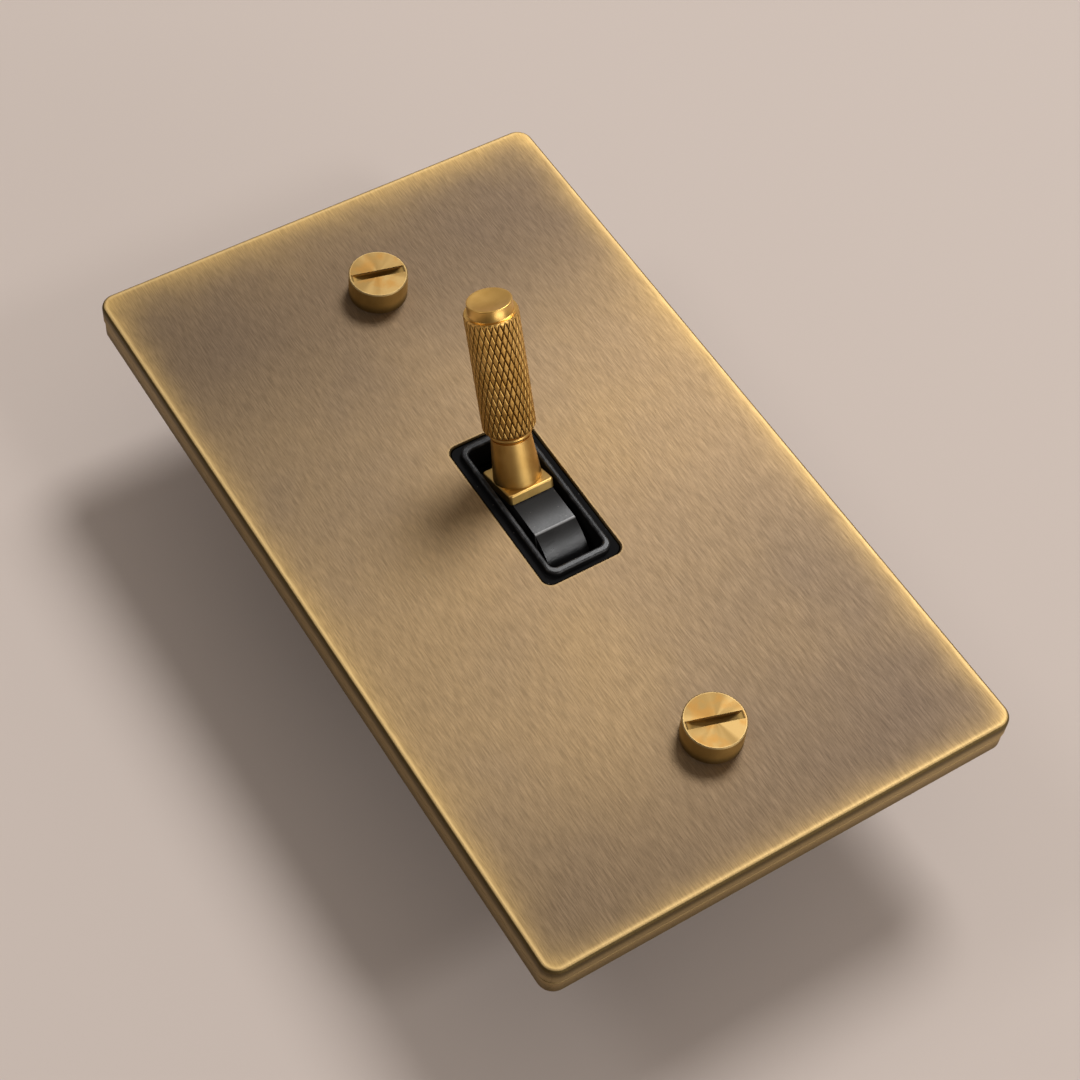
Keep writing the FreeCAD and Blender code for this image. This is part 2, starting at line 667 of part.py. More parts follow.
def knurled_grip():
    """Grip turned and knurled as one piece: groove, bead, knurled wall, dished cap and a blind bore."""
    walls, low_rim, top_rim = knurl_faces()
    top = KNURL_TOP + CAP_TALL
    bore_top = STUD_LOW + STUD_LENGTH + 0.5
    bore_r = STUD_R + STUD_GAP
    ball_r = (CAP_DISH_R ** 2 + CAP_DISH_DEEP ** 2) / (2 * CAP_DISH_DEEP)
    ball_z = top - CAP_DISH_DEEP + ball_r
    halfway = math.asin(CAP_DISH_R / ball_r) / 2
    dish = Part.Arc(
        at(CAP_DISH_R, 0, top),
        at(ball_r * math.sin(halfway), 0, ball_z - ball_r * math.cos(halfway)),
        at(0, 0, top - CAP_DISH_DEEP),
    ).toShape()
    cap = Part.Wire(Part.makePolygon([
        at(CAP_R, 0, KNURL_TOP),
        at(CAP_R, 0, top - CAP_EDGE_R),
        at(CAP_R - CAP_EDGE_R, 0, top),
        at(CAP_DISH_R, 0, top),
    ]).Edges + [dish]).revolve(ORIGIN, Z_AXIS, 360)
    groove_r = NECK_TOP_R - SEAT_GROOVE_DEEP
    swell = [at(NECK_TOP_R, 0, KNURL_LOW)]
    for k in range(7):
        angle = k * math.pi / 6
        level = BEAD_TOP - BEAD_TALL * (1 - math.cos(angle)) / 2
        swell.append(at(NECK_TOP_R + BEAD_BULGE * math.sin(angle), 0, level))
    bead = Part.makePolygon(swell + [
        at(groove_r, 0, BEAD_LOW),
        at(groove_r, 0, NECK_TOP),
        at(bore_r, 0, NECK_TOP),
        at(bore_r, 0, bore_top),
        at(0, 0, bore_top + bore_r * 0.6),
    ]).revolve(ORIGIN, Z_AXIS, 360)
    ends = []
    for rim, radius, level in ((low_rim, NECK_TOP_R, KNURL_LOW), (top_rim, CAP_R, KNURL_TOP)):
        circle = Part.Wire(Part.makeCircle(radius, at(0, 0, level)))
        star = Part.makePolygon(rim + rim[:1])
        ends.append(Part.makeFace([star, circle], "Part::FaceMakerBullseye"))
    skin = Part.Shell(walls + ends + cap.Faces + bead.Faces)
    grip = Part.Solid(skin)
    if grip.Volume < 0:
        grip.reverse()
    return lean(grip)


def plunger():
    nose = PLUNGER_REACH - PLUNGER_NOSE_R
    shoulder = nose - (PLUNGER_R - PLUNGER_NOSE_R)
    pin = turned([
        (0, -PLUNGER_TOP),
        (PLUNGER_R, -PLUNGER_TOP),
        (PLUNGER_R, -shoulder),
        (PLUNGER_NOSE_R, -nose),
        (0, -nose),
    ])
    ball = Part.makeSphere(PLUNGER_NOSE_R, at(0, 0, -nose))
    return lean(pin.fuse(ball).removeSplitter())


def detent_spring():
    """Coil spring: a many-sided wire section carried up the helix in short steps, sewn from triangles."""
    rise = PLUNGER_TOP - BORE_TOP - 2 * SPRING_WIRE_R - 2 * SPRING_END_GAP
    count = SPRING_TURNS * SPRING_STEPS
    rings = []
    for k in range(count + 1):
        turn = 2 * math.pi * k / SPRING_STEPS
        ring = []
        for side in range(SPRING_SIDES):
            angle = 2 * math.pi * side / SPRING_SIDES
            out = SPRING_COIL_R + SPRING_WIRE_R * math.cos(angle)
            up = SPRING_WIRE_R * math.sin(angle) + rise * k / count
            ring.append(at(out * math.cos(turn), out * math.sin(turn), up))
        rings.append(ring)
    skin = [Part.Face(Part.makePolygon(ring + ring[:1])) for ring in (rings[0], rings[-1])]
    for below, above in zip(rings, rings[1:]):
        for side in range(SPRING_SIDES):
            first = [below[side - 1], below[side], above[side]]
            second = [below[side - 1], above[side], above[side - 1]]
            skin += [Part.Face(Part.makePolygon(f + f[:1])) for f in (first, second)]
    coil = Part.Solid(Part.Shell(skin))
    if coil.Volume < 0:
        coil.reverse()
    return lean(moved(coil, 0, 0, -PLUNGER_TOP + SPRING_WIRE_R + SPRING_END_GAP))


def tip_blade(shape):
    """Put a piece of the see-saw in place, tipped about the fulcrum with its -Y end down."""
    return moved(turned_about(shape, X_AXIS, CONTACT_TILT), 0, 0, FULCRUM_Z)


def on_wing(shape, end):
    """Lay an upright piece, with its foot at the origin, on one wing of the see-saw."""
    bend = math.radians(CONTACT_BEND)
    middle = CONTACT_THICK / 2 + FULCRUM_GAP
    laid = turned_about(shape, X_AXIS, end * CONTACT_BEND)
    return moved(laid, 0, end * BUTTON_ARM * math.cos(bend), middle + BUTTON_ARM * math.sin(bend))


def moving_contact():
    bend = math.radians(CONTACT_BEND)
    middle = CONTACT_THICK / 2 + FULCRUM_GAP
    reach = CONTACT_HALF_LENGTH * math.cos(bend)
    rise = middle + CONTACT_HALF_LENGTH * math.sin(bend)
    path = [(-reach, rise), (0, middle), (reach, rise)]
    blade = bent_sheet(path, CONTACT_THICK, CONTACT_BEND_R, CONTACT_WIDTH)
    for side in (1, -1):
        notch_x = side * (CONTACT_WIDTH - CONTACT_NOTCH_DEEP) / 2
        blade = blade.cut(block(CONTACT_NOTCH_DEEP, CONTACT_NOTCH_LENGTH, -1, 3, notch_x, 0))
    for end in (1, -1):
        blade = blade.cut(on_wing(rod(BUTTON_RIVET_R, -1, 1), end))
    return tip_blade(blade)


def moving_buttons():
    under = -CONTACT_THICK / 2
    rivet = turned([
        (0, under - BUTTON_THICK),
        (BUTTON_R - 0.2, under - BUTTON_THICK),
        (BUTTON_R, under - BUTTON_THICK + 0.2),
        (BUTTON_R, under),
        (BUTTON_RIVET_R, under),
        (BUTTON_RIVET_R, -under),
        (0, -under),
    ])
    return Part.makeCompound([tip_blade(on_wing(rivet, end)) for end in (1, -1)])


def button_spot():
    """Place and level of the closed moving button's face, on the side that is down."""
    tilt = math.radians(CONTACT_TILT)
    slope = math.radians(CONTACT_BEND) - tilt
    middle = CONTACT_THICK / 2 + FULCRUM_GAP
    deep = CONTACT_THICK / 2 + BUTTON_THICK
    y = middle * math.sin(tilt) + BUTTON_ARM * math.cos(slope) + deep * math.sin(slope)
    z = middle * math.cos(tilt) + BUTTON_ARM * math.sin(slope) - deep * math.cos(slope)
    return y, FULCRUM_Z + z


def fixed_buttons():
    y, face = button_spot()
    top = face - BUTTON_GAP
    drum = rod(BUTTON_R, TERMINAL_TOP_Z, top)
    dome = Part.makeSphere(BUTTON_DOME_R, at(0, 0, top - BUTTON_DOME_R))
    button = drum.common(dome)
    return Part.makeCompound([moved(button, 0, end * y, 0) for end in (1, -1)])


def outer_terminal(end):
    """A strip under one end of the see-saw, turned up against the side wall for its screw."""
    middle = FLOOR_Z + TERMINAL_THICK / 2
    wall = WALL_X - TERMINAL_THICK / 2
    strip = bent_sheet(
        [(-ARM_WIDTH / 2, middle), (wall, middle), (wall, TAB_TOP_Z)],
        TERMINAL_THICK,
        TERMINAL_BEND_R,
        TERMINAL_WIDTH,
    )
    strip = moved(turned_about(strip, Z_AXIS, -90), 0, end * TERMINAL_Y, 0)
    start = button_spot()[0] - BUTTON_R - ARM_RIM
    stop = TERMINAL_Y - TERMINAL_WIDTH / 2 + ARM_LAP
    arm = block(ARM_WIDTH, stop - start, FLOOR_Z, TERMINAL_TOP_Z, 0, end * (start + stop) / 2)
    strip = strip.fuse(arm).removeSplitter()
    return strip.cut(cross_rod(BINDING_THREAD_R + BINDING_GAP, 0, BASE_WIDTH, end * TERMINAL_Y, WINDOW_Z))


def common_terminal():
    """The strip that the see-saw rocks on, with its ridge and two locating lugs."""
    middle = FLOOR_Z + TERMINAL_THICK / 2
    wall = WALL_X - TERMINAL_THICK / 2
    inside = CONTACT_WIDTH / 2 - CONTACT_NOTCH_DEEP + LUG_GAP
    outside = inside + LUG_THICK
    strip = bent_sheet(
        [(-outside - 0.5, middle), (wall, middle), (wall, TAB_TOP_Z)],
        TERMINAL_THICK,
        TERMINAL_BEND_R,
        TERMINAL_WIDTH,
    )
    strip = turned_about(strip, Z_AXIS, 90)
    ridge = Part.Face(Part.makePolygon([
        at(-outside, -FULCRUM_HALF, TERMINAL_TOP_Z - 0.1),
        at(-outside, -FULCRUM_TIP_HALF, FULCRUM_Z),
        at(-outside, FULCRUM_TIP_HALF, FULCRUM_Z),
        at(-outside, FULCRUM_HALF, TERMINAL_TOP_Z - 0.1),
        at(-outside, -FULCRUM_HALF, TERMINAL_TOP_Z - 0.1),
    ])).extrude(at(2 * outside, 0, 0))
    strip = strip.fuse(ridge)
    for side in (1, -1):
        lug_x = side * (inside + outside) / 2
        lug_top = FULCRUM_Z + LUG_RISE
        strip = strip.fuse(block(LUG_THICK, 2 * LUG_HALF, TERMINAL_TOP_Z - 0.1, lug_top, lug_x, 0))
    strip = strip.removeSplitter()
    return strip.cut(cross_rod(BINDING_THREAD_R + BINDING_GAP, -BASE_WIDTH, -outside - 1, 0, WINDOW_Z))


def terminal_screws():
    screw = turned([
        (0, BINDING_HEAD_TALL),
        (BINDING_HEAD_R - 0.5, BINDING_HEAD_TALL),
        (BINDING_HEAD_R, BINDING_HEAD_TALL - 0.6),
        (BINDING_HEAD_R, 0),
        (BINDING_THREAD_R, 0),
        (BINDING_THREAD_R, -BINDING_REACH + 0.4),
        (BINDING_THREAD_R - 0.4, -BINDING_REACH),
        (0, -BINDING_REACH),
    ])
    screw = slotted(screw, BINDING_SLOT_WIDTH, 3 * BINDING_HEAD_R, BINDING_HEAD_TALL, BINDING_SLOT_DEEP)
    right = turned_about(screw, Y_AXIS, 90)
    left = turned_about(screw, Y_AXIS, -90)
    return Part.makeCompound([
        moved(right, WALL_X, TERMINAL_Y, WINDOW_Z),
        moved(right, WALL_X, -TERMINAL_Y, WINDOW_Z),
        moved(left, -WALL_X, 0, WINDOW_Z),
    ])


NODES = {
    "face_plate": face_plate(),
    "backing_frame": backing_frame(),
    "plate_screws": plate_screws(),
    "screw_retainers": screw_retainers(),
    "strap": strap(),
    "ground_screw": ground_screw(),
    "switch_cover": switch_cover(),
    "pivot_pin": pivot_pin(),
    "switch_base": switch_base(),
    "housing_screws": housing_screws(),
    "rocker": rocker(),
    "dolly_foot": dolly_foot(),
    "dolly_stud": dolly_stud(),
    "knurled_grip": knurled_grip(),
    "plunger": plunger(),
    "detent_spring": detent_spring(),
    "moving_contact": moving_contact(),
    "moving_buttons": moving_buttons(),
    "fixed_buttons": fixed_buttons(),
    "upper_terminal": outer_terminal(1),
    "lower_terminal": outer_terminal(-1),
    "common_terminal": common_terminal(),
    "terminal_screws": terminal_screws(),
}

os.makedirs("parts", exist_ok=True)
for name, shape in NODES.items():
    shape.exportStep("parts/" + name + ".step")
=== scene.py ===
# %% [markdown]
# # A brass dolly switch
# A one-gang wall switch lies on the back of its mechanism: a thick antiqued plate, two tall slotted
# screws, a black collar and a knurled brass dolly. The solids were drawn in CAD and already have their
# right size and place, so this lesson dresses them and makes finer meshes for two of them. We load them
# first.

# %% Load the imported switch
import math
import bpy
import numpy as np
from mathutils import Matrix, Vector


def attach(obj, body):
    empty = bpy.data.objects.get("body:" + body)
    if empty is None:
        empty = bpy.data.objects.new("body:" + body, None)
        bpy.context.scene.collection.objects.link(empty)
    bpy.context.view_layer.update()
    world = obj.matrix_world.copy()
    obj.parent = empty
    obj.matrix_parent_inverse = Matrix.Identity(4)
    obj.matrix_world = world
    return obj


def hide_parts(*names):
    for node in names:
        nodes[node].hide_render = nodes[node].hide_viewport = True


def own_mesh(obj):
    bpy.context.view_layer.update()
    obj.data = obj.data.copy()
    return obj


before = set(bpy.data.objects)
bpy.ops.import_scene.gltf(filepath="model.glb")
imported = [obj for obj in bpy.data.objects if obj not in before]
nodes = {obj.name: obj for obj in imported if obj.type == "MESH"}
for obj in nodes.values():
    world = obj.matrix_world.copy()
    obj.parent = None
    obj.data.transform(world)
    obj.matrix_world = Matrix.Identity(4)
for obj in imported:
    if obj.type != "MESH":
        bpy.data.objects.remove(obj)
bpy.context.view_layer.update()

# %% [markdown]
# ## The camera
# The picture looks down on the plate from its near left corner. The place and the three axes below come
# from matching the plate's four corners, so a piece that is right in space also falls on the right pixel.
# A camera looks along its own -Z, so its matrix has right, up and minus forward as columns.

# %% Set the camera
camera_place = Vector((-0.1105, -0.1484, 0.2586))
camera_right = Vector((0.8458, -0.5300, 0.0613))
camera_up = Vector((0.4049, 0.7124, 0.5732))
camera_forward = Vector((0.3475, 0.4600, -0.8171))
lens = bpy.data.cameras.new("picture_lens")
lens.lens = 78.77
lens.sensor_width = 36.0
lens.clip_start = 0.01
camera = bpy.data.objects.new("picture_camera", lens)
bpy.context.scene.collection.objects.link(camera)
axes = Matrix((camera_right, camera_up, -camera_forward)).transposed()
camera.matrix_world = Matrix.Translation(camera_place) @ axes.to_4x4()
bpy.context.scene.camera = camera
bpy.context.scene.view_settings.view_transform = "Standard"
print("camera", round(camera_place.length, 3), "m from the plate's middle")

# %% [markdown]
# ## Small tools for shader nodes
# Every finish below is a graph of nodes. Written out in full, each node takes four or five lines, so a few
# short helpers do the typing: `put` adds a node and feeds its inputs, `calc` is one sum, `fade` is a soft
# step from one level to another, and `tint` turns one colour towards another.

# %% Helpers that add nodes
def put(tree, kind, feeds=None, **settings):
    """Add one node: settings are its options, feeds give each input a socket to link or a plain value."""
    node = tree.nodes.new(kind)
    for name, value in settings.items():
        setattr(node, name, value)
    for name, value in (feeds or {}).items():
        if isinstance(value, bpy.types.NodeSocket):
            tree.links.new(value, node.inputs[name])
        else:
            node.inputs[name].default_value = value
    return node


def calc(tree, operation, *values):
    """One Math node on sockets or numbers."""
    return put(tree, "ShaderNodeMath", dict(enumerate(values)), operation=operation).outputs[0]


def fade(tree, value, start, stop, low=0.0, high=1.0):
    """A soft step: low at start, high at stop, and an S curve between the two."""
    span = {"Value": value, "From Min": start, "From Max": stop, "To Min": low, "To Max": high}
    return put(tree, "ShaderNodeMapRange", span, interpolation_type="SMOOTHSTEP").outputs[0]


def tint(tree, share, first, second, mode="MIX"):
    """Turn the first colour towards the second by a share from 0 to 1."""
    feeds = {0: share, 6: first, 7: second}
    return put(tree, "ShaderNodeMix", feeds, data_type="RGBA", blend_type=mode).outputs[2]


def rgb(red, green, blue):
    """A colour with full alpha, in linear light."""
    return (red, green, blue, 1.0)


# %% [markdown]
# ## Effects that several finishes share
# Brass, plastic and steel all need to know where on the switch a point lies, and they share fine grain,
# cloudiness, specks and the rings of a lathe. Each effect is built once as a node group with named inputs,
# and every finish places it with its own values. The places come from Object coordinates, which stay with
# the piece when the dolly is thrown.

# %% Node group helpers and the places in millimetres
def shader_group(name, inputs, outputs):
    """An empty group of nodes with number inputs {name: default} and number outputs."""
    tree = bpy.data.node_groups.new(name, "ShaderNodeTree")
    for label, value in inputs.items():
        socket = tree.interface.new_socket(label, in_out="INPUT", socket_type="NodeSocketFloat")
        socket.default_value = value
    for label in outputs:
        tree.interface.new_socket(label, in_out="OUTPUT", socket_type="NodeSocketFloat")
    return tree, put(tree, "NodeGroupInput")


def place(tree, group, output, **values):
    """Put a finished group into a material and return one of its outputs."""
    return put(tree, "ShaderNodeGroup", values, node_tree=group).outputs[output]


def object_mm(tree, centre=(0, 0, 0), turn=0.0):
    """Object coordinates in millimetres about a centre, turned about X."""
    where = put(tree, "ShaderNodeTexCoord").outputs["Object"]
    moved = put(tree, "ShaderNodeVectorMath", {0: where, 1: centre}, operation="SUBTRACT").outputs[0]
    feeds = {"Vector": moved, "Rotation": (turn, 0, 0), "Scale": (1000, 1000, 1000)}
    return put(tree, "ShaderNodeMapping", feeds).outputs[0]


PIVOT = Vector((0, 0, -0.0063))
LEAN = math.radians(20.0)
plate_mm, _ = shader_group("plate_mm", {}, ["X", "Y", "Z"])
split = put(plate_mm, "ShaderNodeSeparateXYZ", {0: object_mm(plate_mm)})
put(plate_mm, "NodeGroupOutput", {axis: split.outputs[axis] for axis in "XYZ"})
dolly_mm, _ = shader_group("dolly_mm", {}, ["X", "Y", "Z"])
split = put(dolly_mm, "ShaderNodeSeparateXYZ", {0: object_mm(dolly_mm, tuple(PIVOT), LEAN)})
put(dolly_mm, "NodeGroupOutput", {axis: split.outputs[axis] for axis in "XYZ"})
print("groups plate_mm and dolly_mm give a point's place along the plate and along the dolly")

# %% Groups for brush strokes and clouds
strokes, given = shader_group("strokes", {"Across": 3.5, "Along": 0.4}, ["Streak"])
across, along = given.outputs["Across"], given.outputs["Along"]
scale = put(strokes, "ShaderNodeCombineXYZ", {0: across, 1: along, 2: across}).outputs[0]
feeds = {0: object_mm(strokes), 1: scale}
stretched = put(strokes, "ShaderNodeVectorMath", feeds, operation="MULTIPLY").outputs[0]
feeds = {"Vector": stretched, "Scale": 1.0, "Detail": 3.0, "Roughness": 0.6}
streak = put(strokes, "ShaderNodeTexNoise", feeds).outputs[0]
put(strokes, "NodeGroupOutput", {"Streak": fade(strokes, streak, 0.28, 0.72)})

clouds, given = shader_group("clouds", {"Size": 20.0}, ["Cloud"])
per_mm = calc(clouds, "DIVIDE", 1.0, given.outputs["Size"])
feeds = {"Vector": object_mm(clouds), "Scale": per_mm, "Detail": 4.0}
cloud = put(clouds, "ShaderNodeTexNoise", feeds).outputs[0]
put(clouds, "NodeGroupOutput", {"Cloud": fade(clouds, cloud, 0.3, 0.7)})

# %% Groups for specks and lathe rings
specks, given = shader_group("specks", {"Spacing": 1.0, "Share": 0.2, "Radius": 0.15}, ["Speck"])
per_mm = calc(specks, "DIVIDE", 1.0, given.outputs["Spacing"])
cells = put(specks, "ShaderNodeTexVoronoi", {"Vector": object_mm(specks), "Scale": per_mm})
lot = put(specks, "ShaderNodeSeparateColor", {0: cells.outputs["Color"]}).outputs[0]
chosen = calc(specks, "LESS_THAN", lot, given.outputs["Share"])
away = calc(specks, "DIVIDE", cells.outputs["Distance"], given.outputs["Radius"])
put(specks, "NodeGroupOutput", {"Speck": calc(specks, "MULTIPLY", chosen, fade(specks, away, 1.0, 0.6))})

lathe, given = shader_group("lathe_rings", {"Place": 0.0, "Per_mm": 7.0, "Detail": 3.0}, ["Ring"])
feeds = {"W": given.outputs["Place"], "Scale": given.outputs["Per_mm"], "Detail": given.outputs["Detail"]}
ring = put(lathe, "ShaderNodeTexNoise", feeds, noise_dimensions="1D").outputs[0]
put(lathe, "NodeGroupOutput", {"Ring": ring})
print("effect groups:", sorted(g.name for g in bpy.data.node_groups))

# %% [markdown]
# ## Dressing a piece
# A CAD node keeps its mesh untouched, with the smooth normals that came with it. Only the material in
# its slot changes.

# %% Helpers for materials
def new_material(name):
    """A material with its Principled shader; the finish then feeds that shader's sockets."""
    material = bpy.data.materials.new(name)
    material.use_nodes = True
    shader = material.node_tree.nodes["Principled BSDF"]
    return material, material.node_tree, shader


def feed(tree, shader, **feeds):
    """Link or set the shader's sockets; an underscore in a name stands for a space."""
    for name, value in feeds.items():
        socket = shader.inputs[name.replace("_", " ")]
        if isinstance(value, bpy.types.NodeSocket):
            tree.links.new(value, socket)
        else:
            socket.default_value = value


def bump(tree, height, depth_mm):
    """A normal bent by a height from 0 to 1 that stands for so many millimetres."""
    feeds = {"Height": height, "Distance": depth_mm * 0.001, "Strength": 1.0}
    return put(tree, "ShaderNodeBump", feeds).outputs[0]


def dress(material, *names):
    """Give the named CAD nodes this material."""
    for name in names:
        for slot in nodes[name].material_slots:
            slot.material = material
    print(material.name, "on", ", ".join(names))


# %% [markdown]
# ## Antiqued brass plate
# The real plate is solid brass, darkened in a bath, brushed along its length and then rubbed back at the
# edges, so gold shows through in a soft border and a thin line along the rim. We could paint that as an
# image, but the plate's own sizes describe it better: the distance from the outline gives the border,
# stretched noise gives the brush strokes, and large clouds give the smoky patches. Some colour here is
# painted light and shade: painted shade towards both ends and towards the left, painted light towards
# the right, painted shade in the patches as well as patina, a painted highlight on the rim's line of
# wear and a painted highlight round the slot.

# %% Distances on the plate
PLATE_HALF_X = 35.0
PLATE_HALF_Y = 59.25
FRONT_Z = 5.5
SEAM_Z = 2.5
SLOT_HALF_X = 6.2
SLOT_HALF_Y = 12.9
SLOT_CORNER = 1.5
print("plate and slot half sizes, mm:", (PLATE_HALF_X, PLATE_HALF_Y), (SLOT_HALF_X, SLOT_HALF_Y))


def length(tree, first, second):
    """The length of the flat arrow with these two sides."""
    squares = [calc(tree, "MULTIPLY", side, side) for side in (first, second)]
    return calc(tree, "SQRT", calc(tree, "ADD", *squares))


def patch(tree, x, y, spot, inner, outer):
    """A soft round patch: 1 within the inner distance of a spot, 0 beyond the outer one."""
    away = length(tree, calc(tree, "SUBTRACT", x, spot[0]), calc(tree, "SUBTRACT", y, spot[1]))
    return fade(tree, away, outer, inner)


def past_slot(tree, away_x, away_y):
    """Distance from the slot's outline: the length past a corner's centre, less the corner's radius."""
    past = []
    for away, half in ((away_x, SLOT_HALF_X), (away_y, SLOT_HALF_Y)):
        past.append(calc(tree, "MAXIMUM", calc(tree, "SUBTRACT", away, half - SLOT_CORNER), 0.0))
    return calc(tree, "SUBTRACT", length(tree, *past), SLOT_CORNER)


def worn_by_distance(tree, inside, reach):
    """Wear that dies away inwards from an edge: e to the power of minus distance over reach."""
    return calc(tree, "EXPONENT", calc(tree, "MULTIPLY", calc(tree, "DIVIDE", inside, reach), -1.0))


# %% Wear, patches and painted shade on the plate
FAR_LEFT = (-27, 27)
FAR_RIGHT = (22, 48)
NEAR_RIGHT = (28, -38)


def plate_edges(tree, x, y, z, blotch):
    """Masks: the soft rubbed border, the rim's line of wear with a painted highlight, and a painted
    highlight round the slot.

    The border adds the wear from the nearest long edge to that from the nearest short edge. Its reach
    follows the blotches and is longest at the far end.
    """
    away_x, away_y = calc(tree, "ABSOLUTE", x), calc(tree, "ABSOLUTE", y)
    inside_x = calc(tree, "SUBTRACT", PLATE_HALF_X, away_x)
    inside_y = calc(tree, "SUBTRACT", PLATE_HALF_Y, away_y)
    reach = calc(tree, "MULTIPLY_ADD", blotch, 0.4, 1.25)
    reach_y = calc(tree, "MULTIPLY", reach, fade(tree, y, -20, 20, 0.8, 1.8))
    wear_x = worn_by_distance(tree, inside_x, reach)
    wear_y = worn_by_distance(tree, inside_y, reach_y)
    rubbed = calc(tree, "MINIMUM", calc(tree, "ADD", wear_x, wear_y), 1.0)
    front = fade(tree, z, FRONT_Z - 0.10, FRONT_Z - 0.02)
    inset = calc(tree, "SMOOTH_MIN", inside_x, inside_y, 2.0)
    # The rim line is rubbed wear, made paler as a painted highlight.
    rim = calc(tree, "MULTIPLY", fade(tree, inset, 1.1, 0.3), front)
    # Painted highlight round the slot's edge.
    slot_highlight = calc(tree, "MULTIPLY", fade(tree, past_slot(tree, away_x, away_y), 0.35, 0.05), front)
    return rubbed, rim, slot_highlight


def plate_shade_and_patina(tree, x, y, smoke):
    """Masks of darkening: painted shade towards both ends of the plate, and the strongest of three smoky
    patina patches, which also carry painted shade.
    """
    # Painted shade: both ends darken, where the lamp's highlight on the plate falls off.
    end_shade = fade(tree, calc(tree, "ABSOLUTE", calc(tree, "ADD", y, 6.0)), 22, 52)
    far_left = calc(tree, "MULTIPLY", patch(tree, x, y, FAR_LEFT, inner=4, outer=38), 0.55)
    far_right = calc(tree, "MULTIPLY", patch(tree, x, y, FAR_RIGHT, inner=6, outer=36), 0.55)
    near_right = patch(tree, x, y, NEAR_RIGHT, inner=4, outer=40)
    patina_and_shade = calc(tree, "MAXIMUM", calc(tree, "MAXIMUM", far_left, near_right), far_right)
    thinned = calc(tree, "MULTIPLY_ADD", smoke, 0.25, 0.52)
    return end_shade, calc(tree, "MULTIPLY", patina_and_shade, thinned)


# %% [markdown]
# The side of the plate is painted with reflection and shade: dark just under the rim, pale towards the
# fine seam between the two brass pieces, and dark again at the wall. It is tinted by height alone, so the
# seam stays where the CAD has it.

# %% Side of the plate
UNDER_RIM_Z = 4.8
MID_SIDE_Z = 3.4
NEAR_WALL_Z = 0.3


def side_painted_shading(tree, z):
    """The plate's side from its rim to its back in painted reflection and shade: dark under the rim, paler
    at the seam, dark at the back.
    """
    below_rim = fade(tree, z, UNDER_RIM_Z, MID_SIDE_Z)
    colour = tint(tree, below_rim, rgb(0.105, 0.072, 0.028), rgb(0.36, 0.26, 0.122))
    colour = tint(tree, fade(tree, z, SEAM_Z, SEAM_Z - 0.1), colour, rgb(0.36, 0.255, 0.115))
    return tint(tree, fade(tree, z, SEAM_Z - 0.4, NEAR_WALL_Z), colour, rgb(0.19, 0.132, 0.062))


# %% Antiqued brass
BATH_BROWN = rgb(0.312, 0.215, 0.114)
SMOKE_BROWN = rgb(0.280, 0.196, 0.114)
END_SHADE_BROWN = rgb(0.133, 0.093, 0.064)
PATINA_AND_SHADE_BROWN = rgb(0.109, 0.081, 0.063)
RUBBED_GOLD = rgb(0.578, 0.387, 0.141)
SLOT_HIGHLIGHT_GOLD = rgb(0.59, 0.41, 0.18)
RIM_GOLD_AND_HIGHLIGHT = rgb(0.60, 0.428, 0.195)


def antique_brass():
    """Bath brown, tinted in turn by painted end shade, patches of patina and painted shade, wear and the
    side's painted shading, then streaked, darker to the left and lighter to the right as painted light, with
    the rim's wear and painted highlight laid over it.
    """
    material, tree, shader = new_material("antique_brass")
    x, y, z = (place(tree, plate_mm, axis) for axis in "XYZ")
    grain = place(tree, strokes, "Streak", Across=3.4, Along=0.30)
    fine = place(tree, strokes, "Streak", Across=6.0, Along=0.42)
    smoke = place(tree, clouds, "Cloud", Size=22.0)
    blotch = place(tree, clouds, "Cloud", Size=6.0)
    rubbed, rim, slot_highlight = plate_edges(tree, x, y, z, blotch)
    end_shade, patina_and_shade = plate_shade_and_patina(tree, x, y, smoke)
    colour = tint(tree, smoke, BATH_BROWN, SMOKE_BROWN)
    # Painted shade at both ends.
    colour = tint(tree, calc(tree, "MULTIPLY", end_shade, 0.70), colour, END_SHADE_BROWN)
    # The patches are patina, and also painted shade.
    colour = tint(tree, calc(tree, "MULTIPLY", patina_and_shade, 0.80), colour, PATINA_AND_SHADE_BROWN)
    colour = tint(tree, calc(tree, "MULTIPLY", rubbed, 0.85), colour, RUBBED_GOLD)
    # Painted highlight: a pale line round the slot's edge.
    colour = tint(tree, calc(tree, "MULTIPLY", slot_highlight, 0.2), colour, SLOT_HIGHLIGHT_GOLD)
    side = fade(tree, z, FRONT_Z - 0.02, FRONT_Z - 0.12)
    # The side gets painted reflection and shade.
    colour = tint(tree, calc(tree, "MULTIPLY", side, 0.92), colour, side_painted_shading(tree, z))
    # Painted light: darker towards the left and lighter towards the right, as the main lamp stands to the
    # right.
    painted_light_from_right = calc(tree, "MULTIPLY_ADD", x, 0.004, 1.0)
    shade = calc(tree, "MULTIPLY", painted_light_from_right, calc(tree, "MULTIPLY_ADD", grain, 0.06, 0.97))
    shade = calc(tree, "MULTIPLY", shade, calc(tree, "MULTIPLY_ADD", fine, 0.34, 0.83))
    grey = put(tree, "ShaderNodeCombineColor", {0: shade, 1: shade, 2: shade}).outputs[0]
    colour = tint(tree, 1.0, colour, grey, "MULTIPLY")
    # The rim's wear and painted highlight.
    colour = tint(tree, calc(tree, "MULTIPLY", rim, 0.85), colour, RIM_GOLD_AND_HIGHLIGHT)
    dull = calc(tree, "MULTIPLY_ADD", grain, 0.06, 0.58)
    dull = calc(tree, "MULTIPLY_ADD", rim, -0.05, dull)
    height = calc(tree, "MULTIPLY_ADD", fine, 0.5, grain)
    feed(tree, shader, Base_Color=colour, Metallic=1.0, Roughness=dull, Normal=bump(tree, height, 0.0015))
    return material


dress(antique_brass(), "face_plate", "backing_frame")

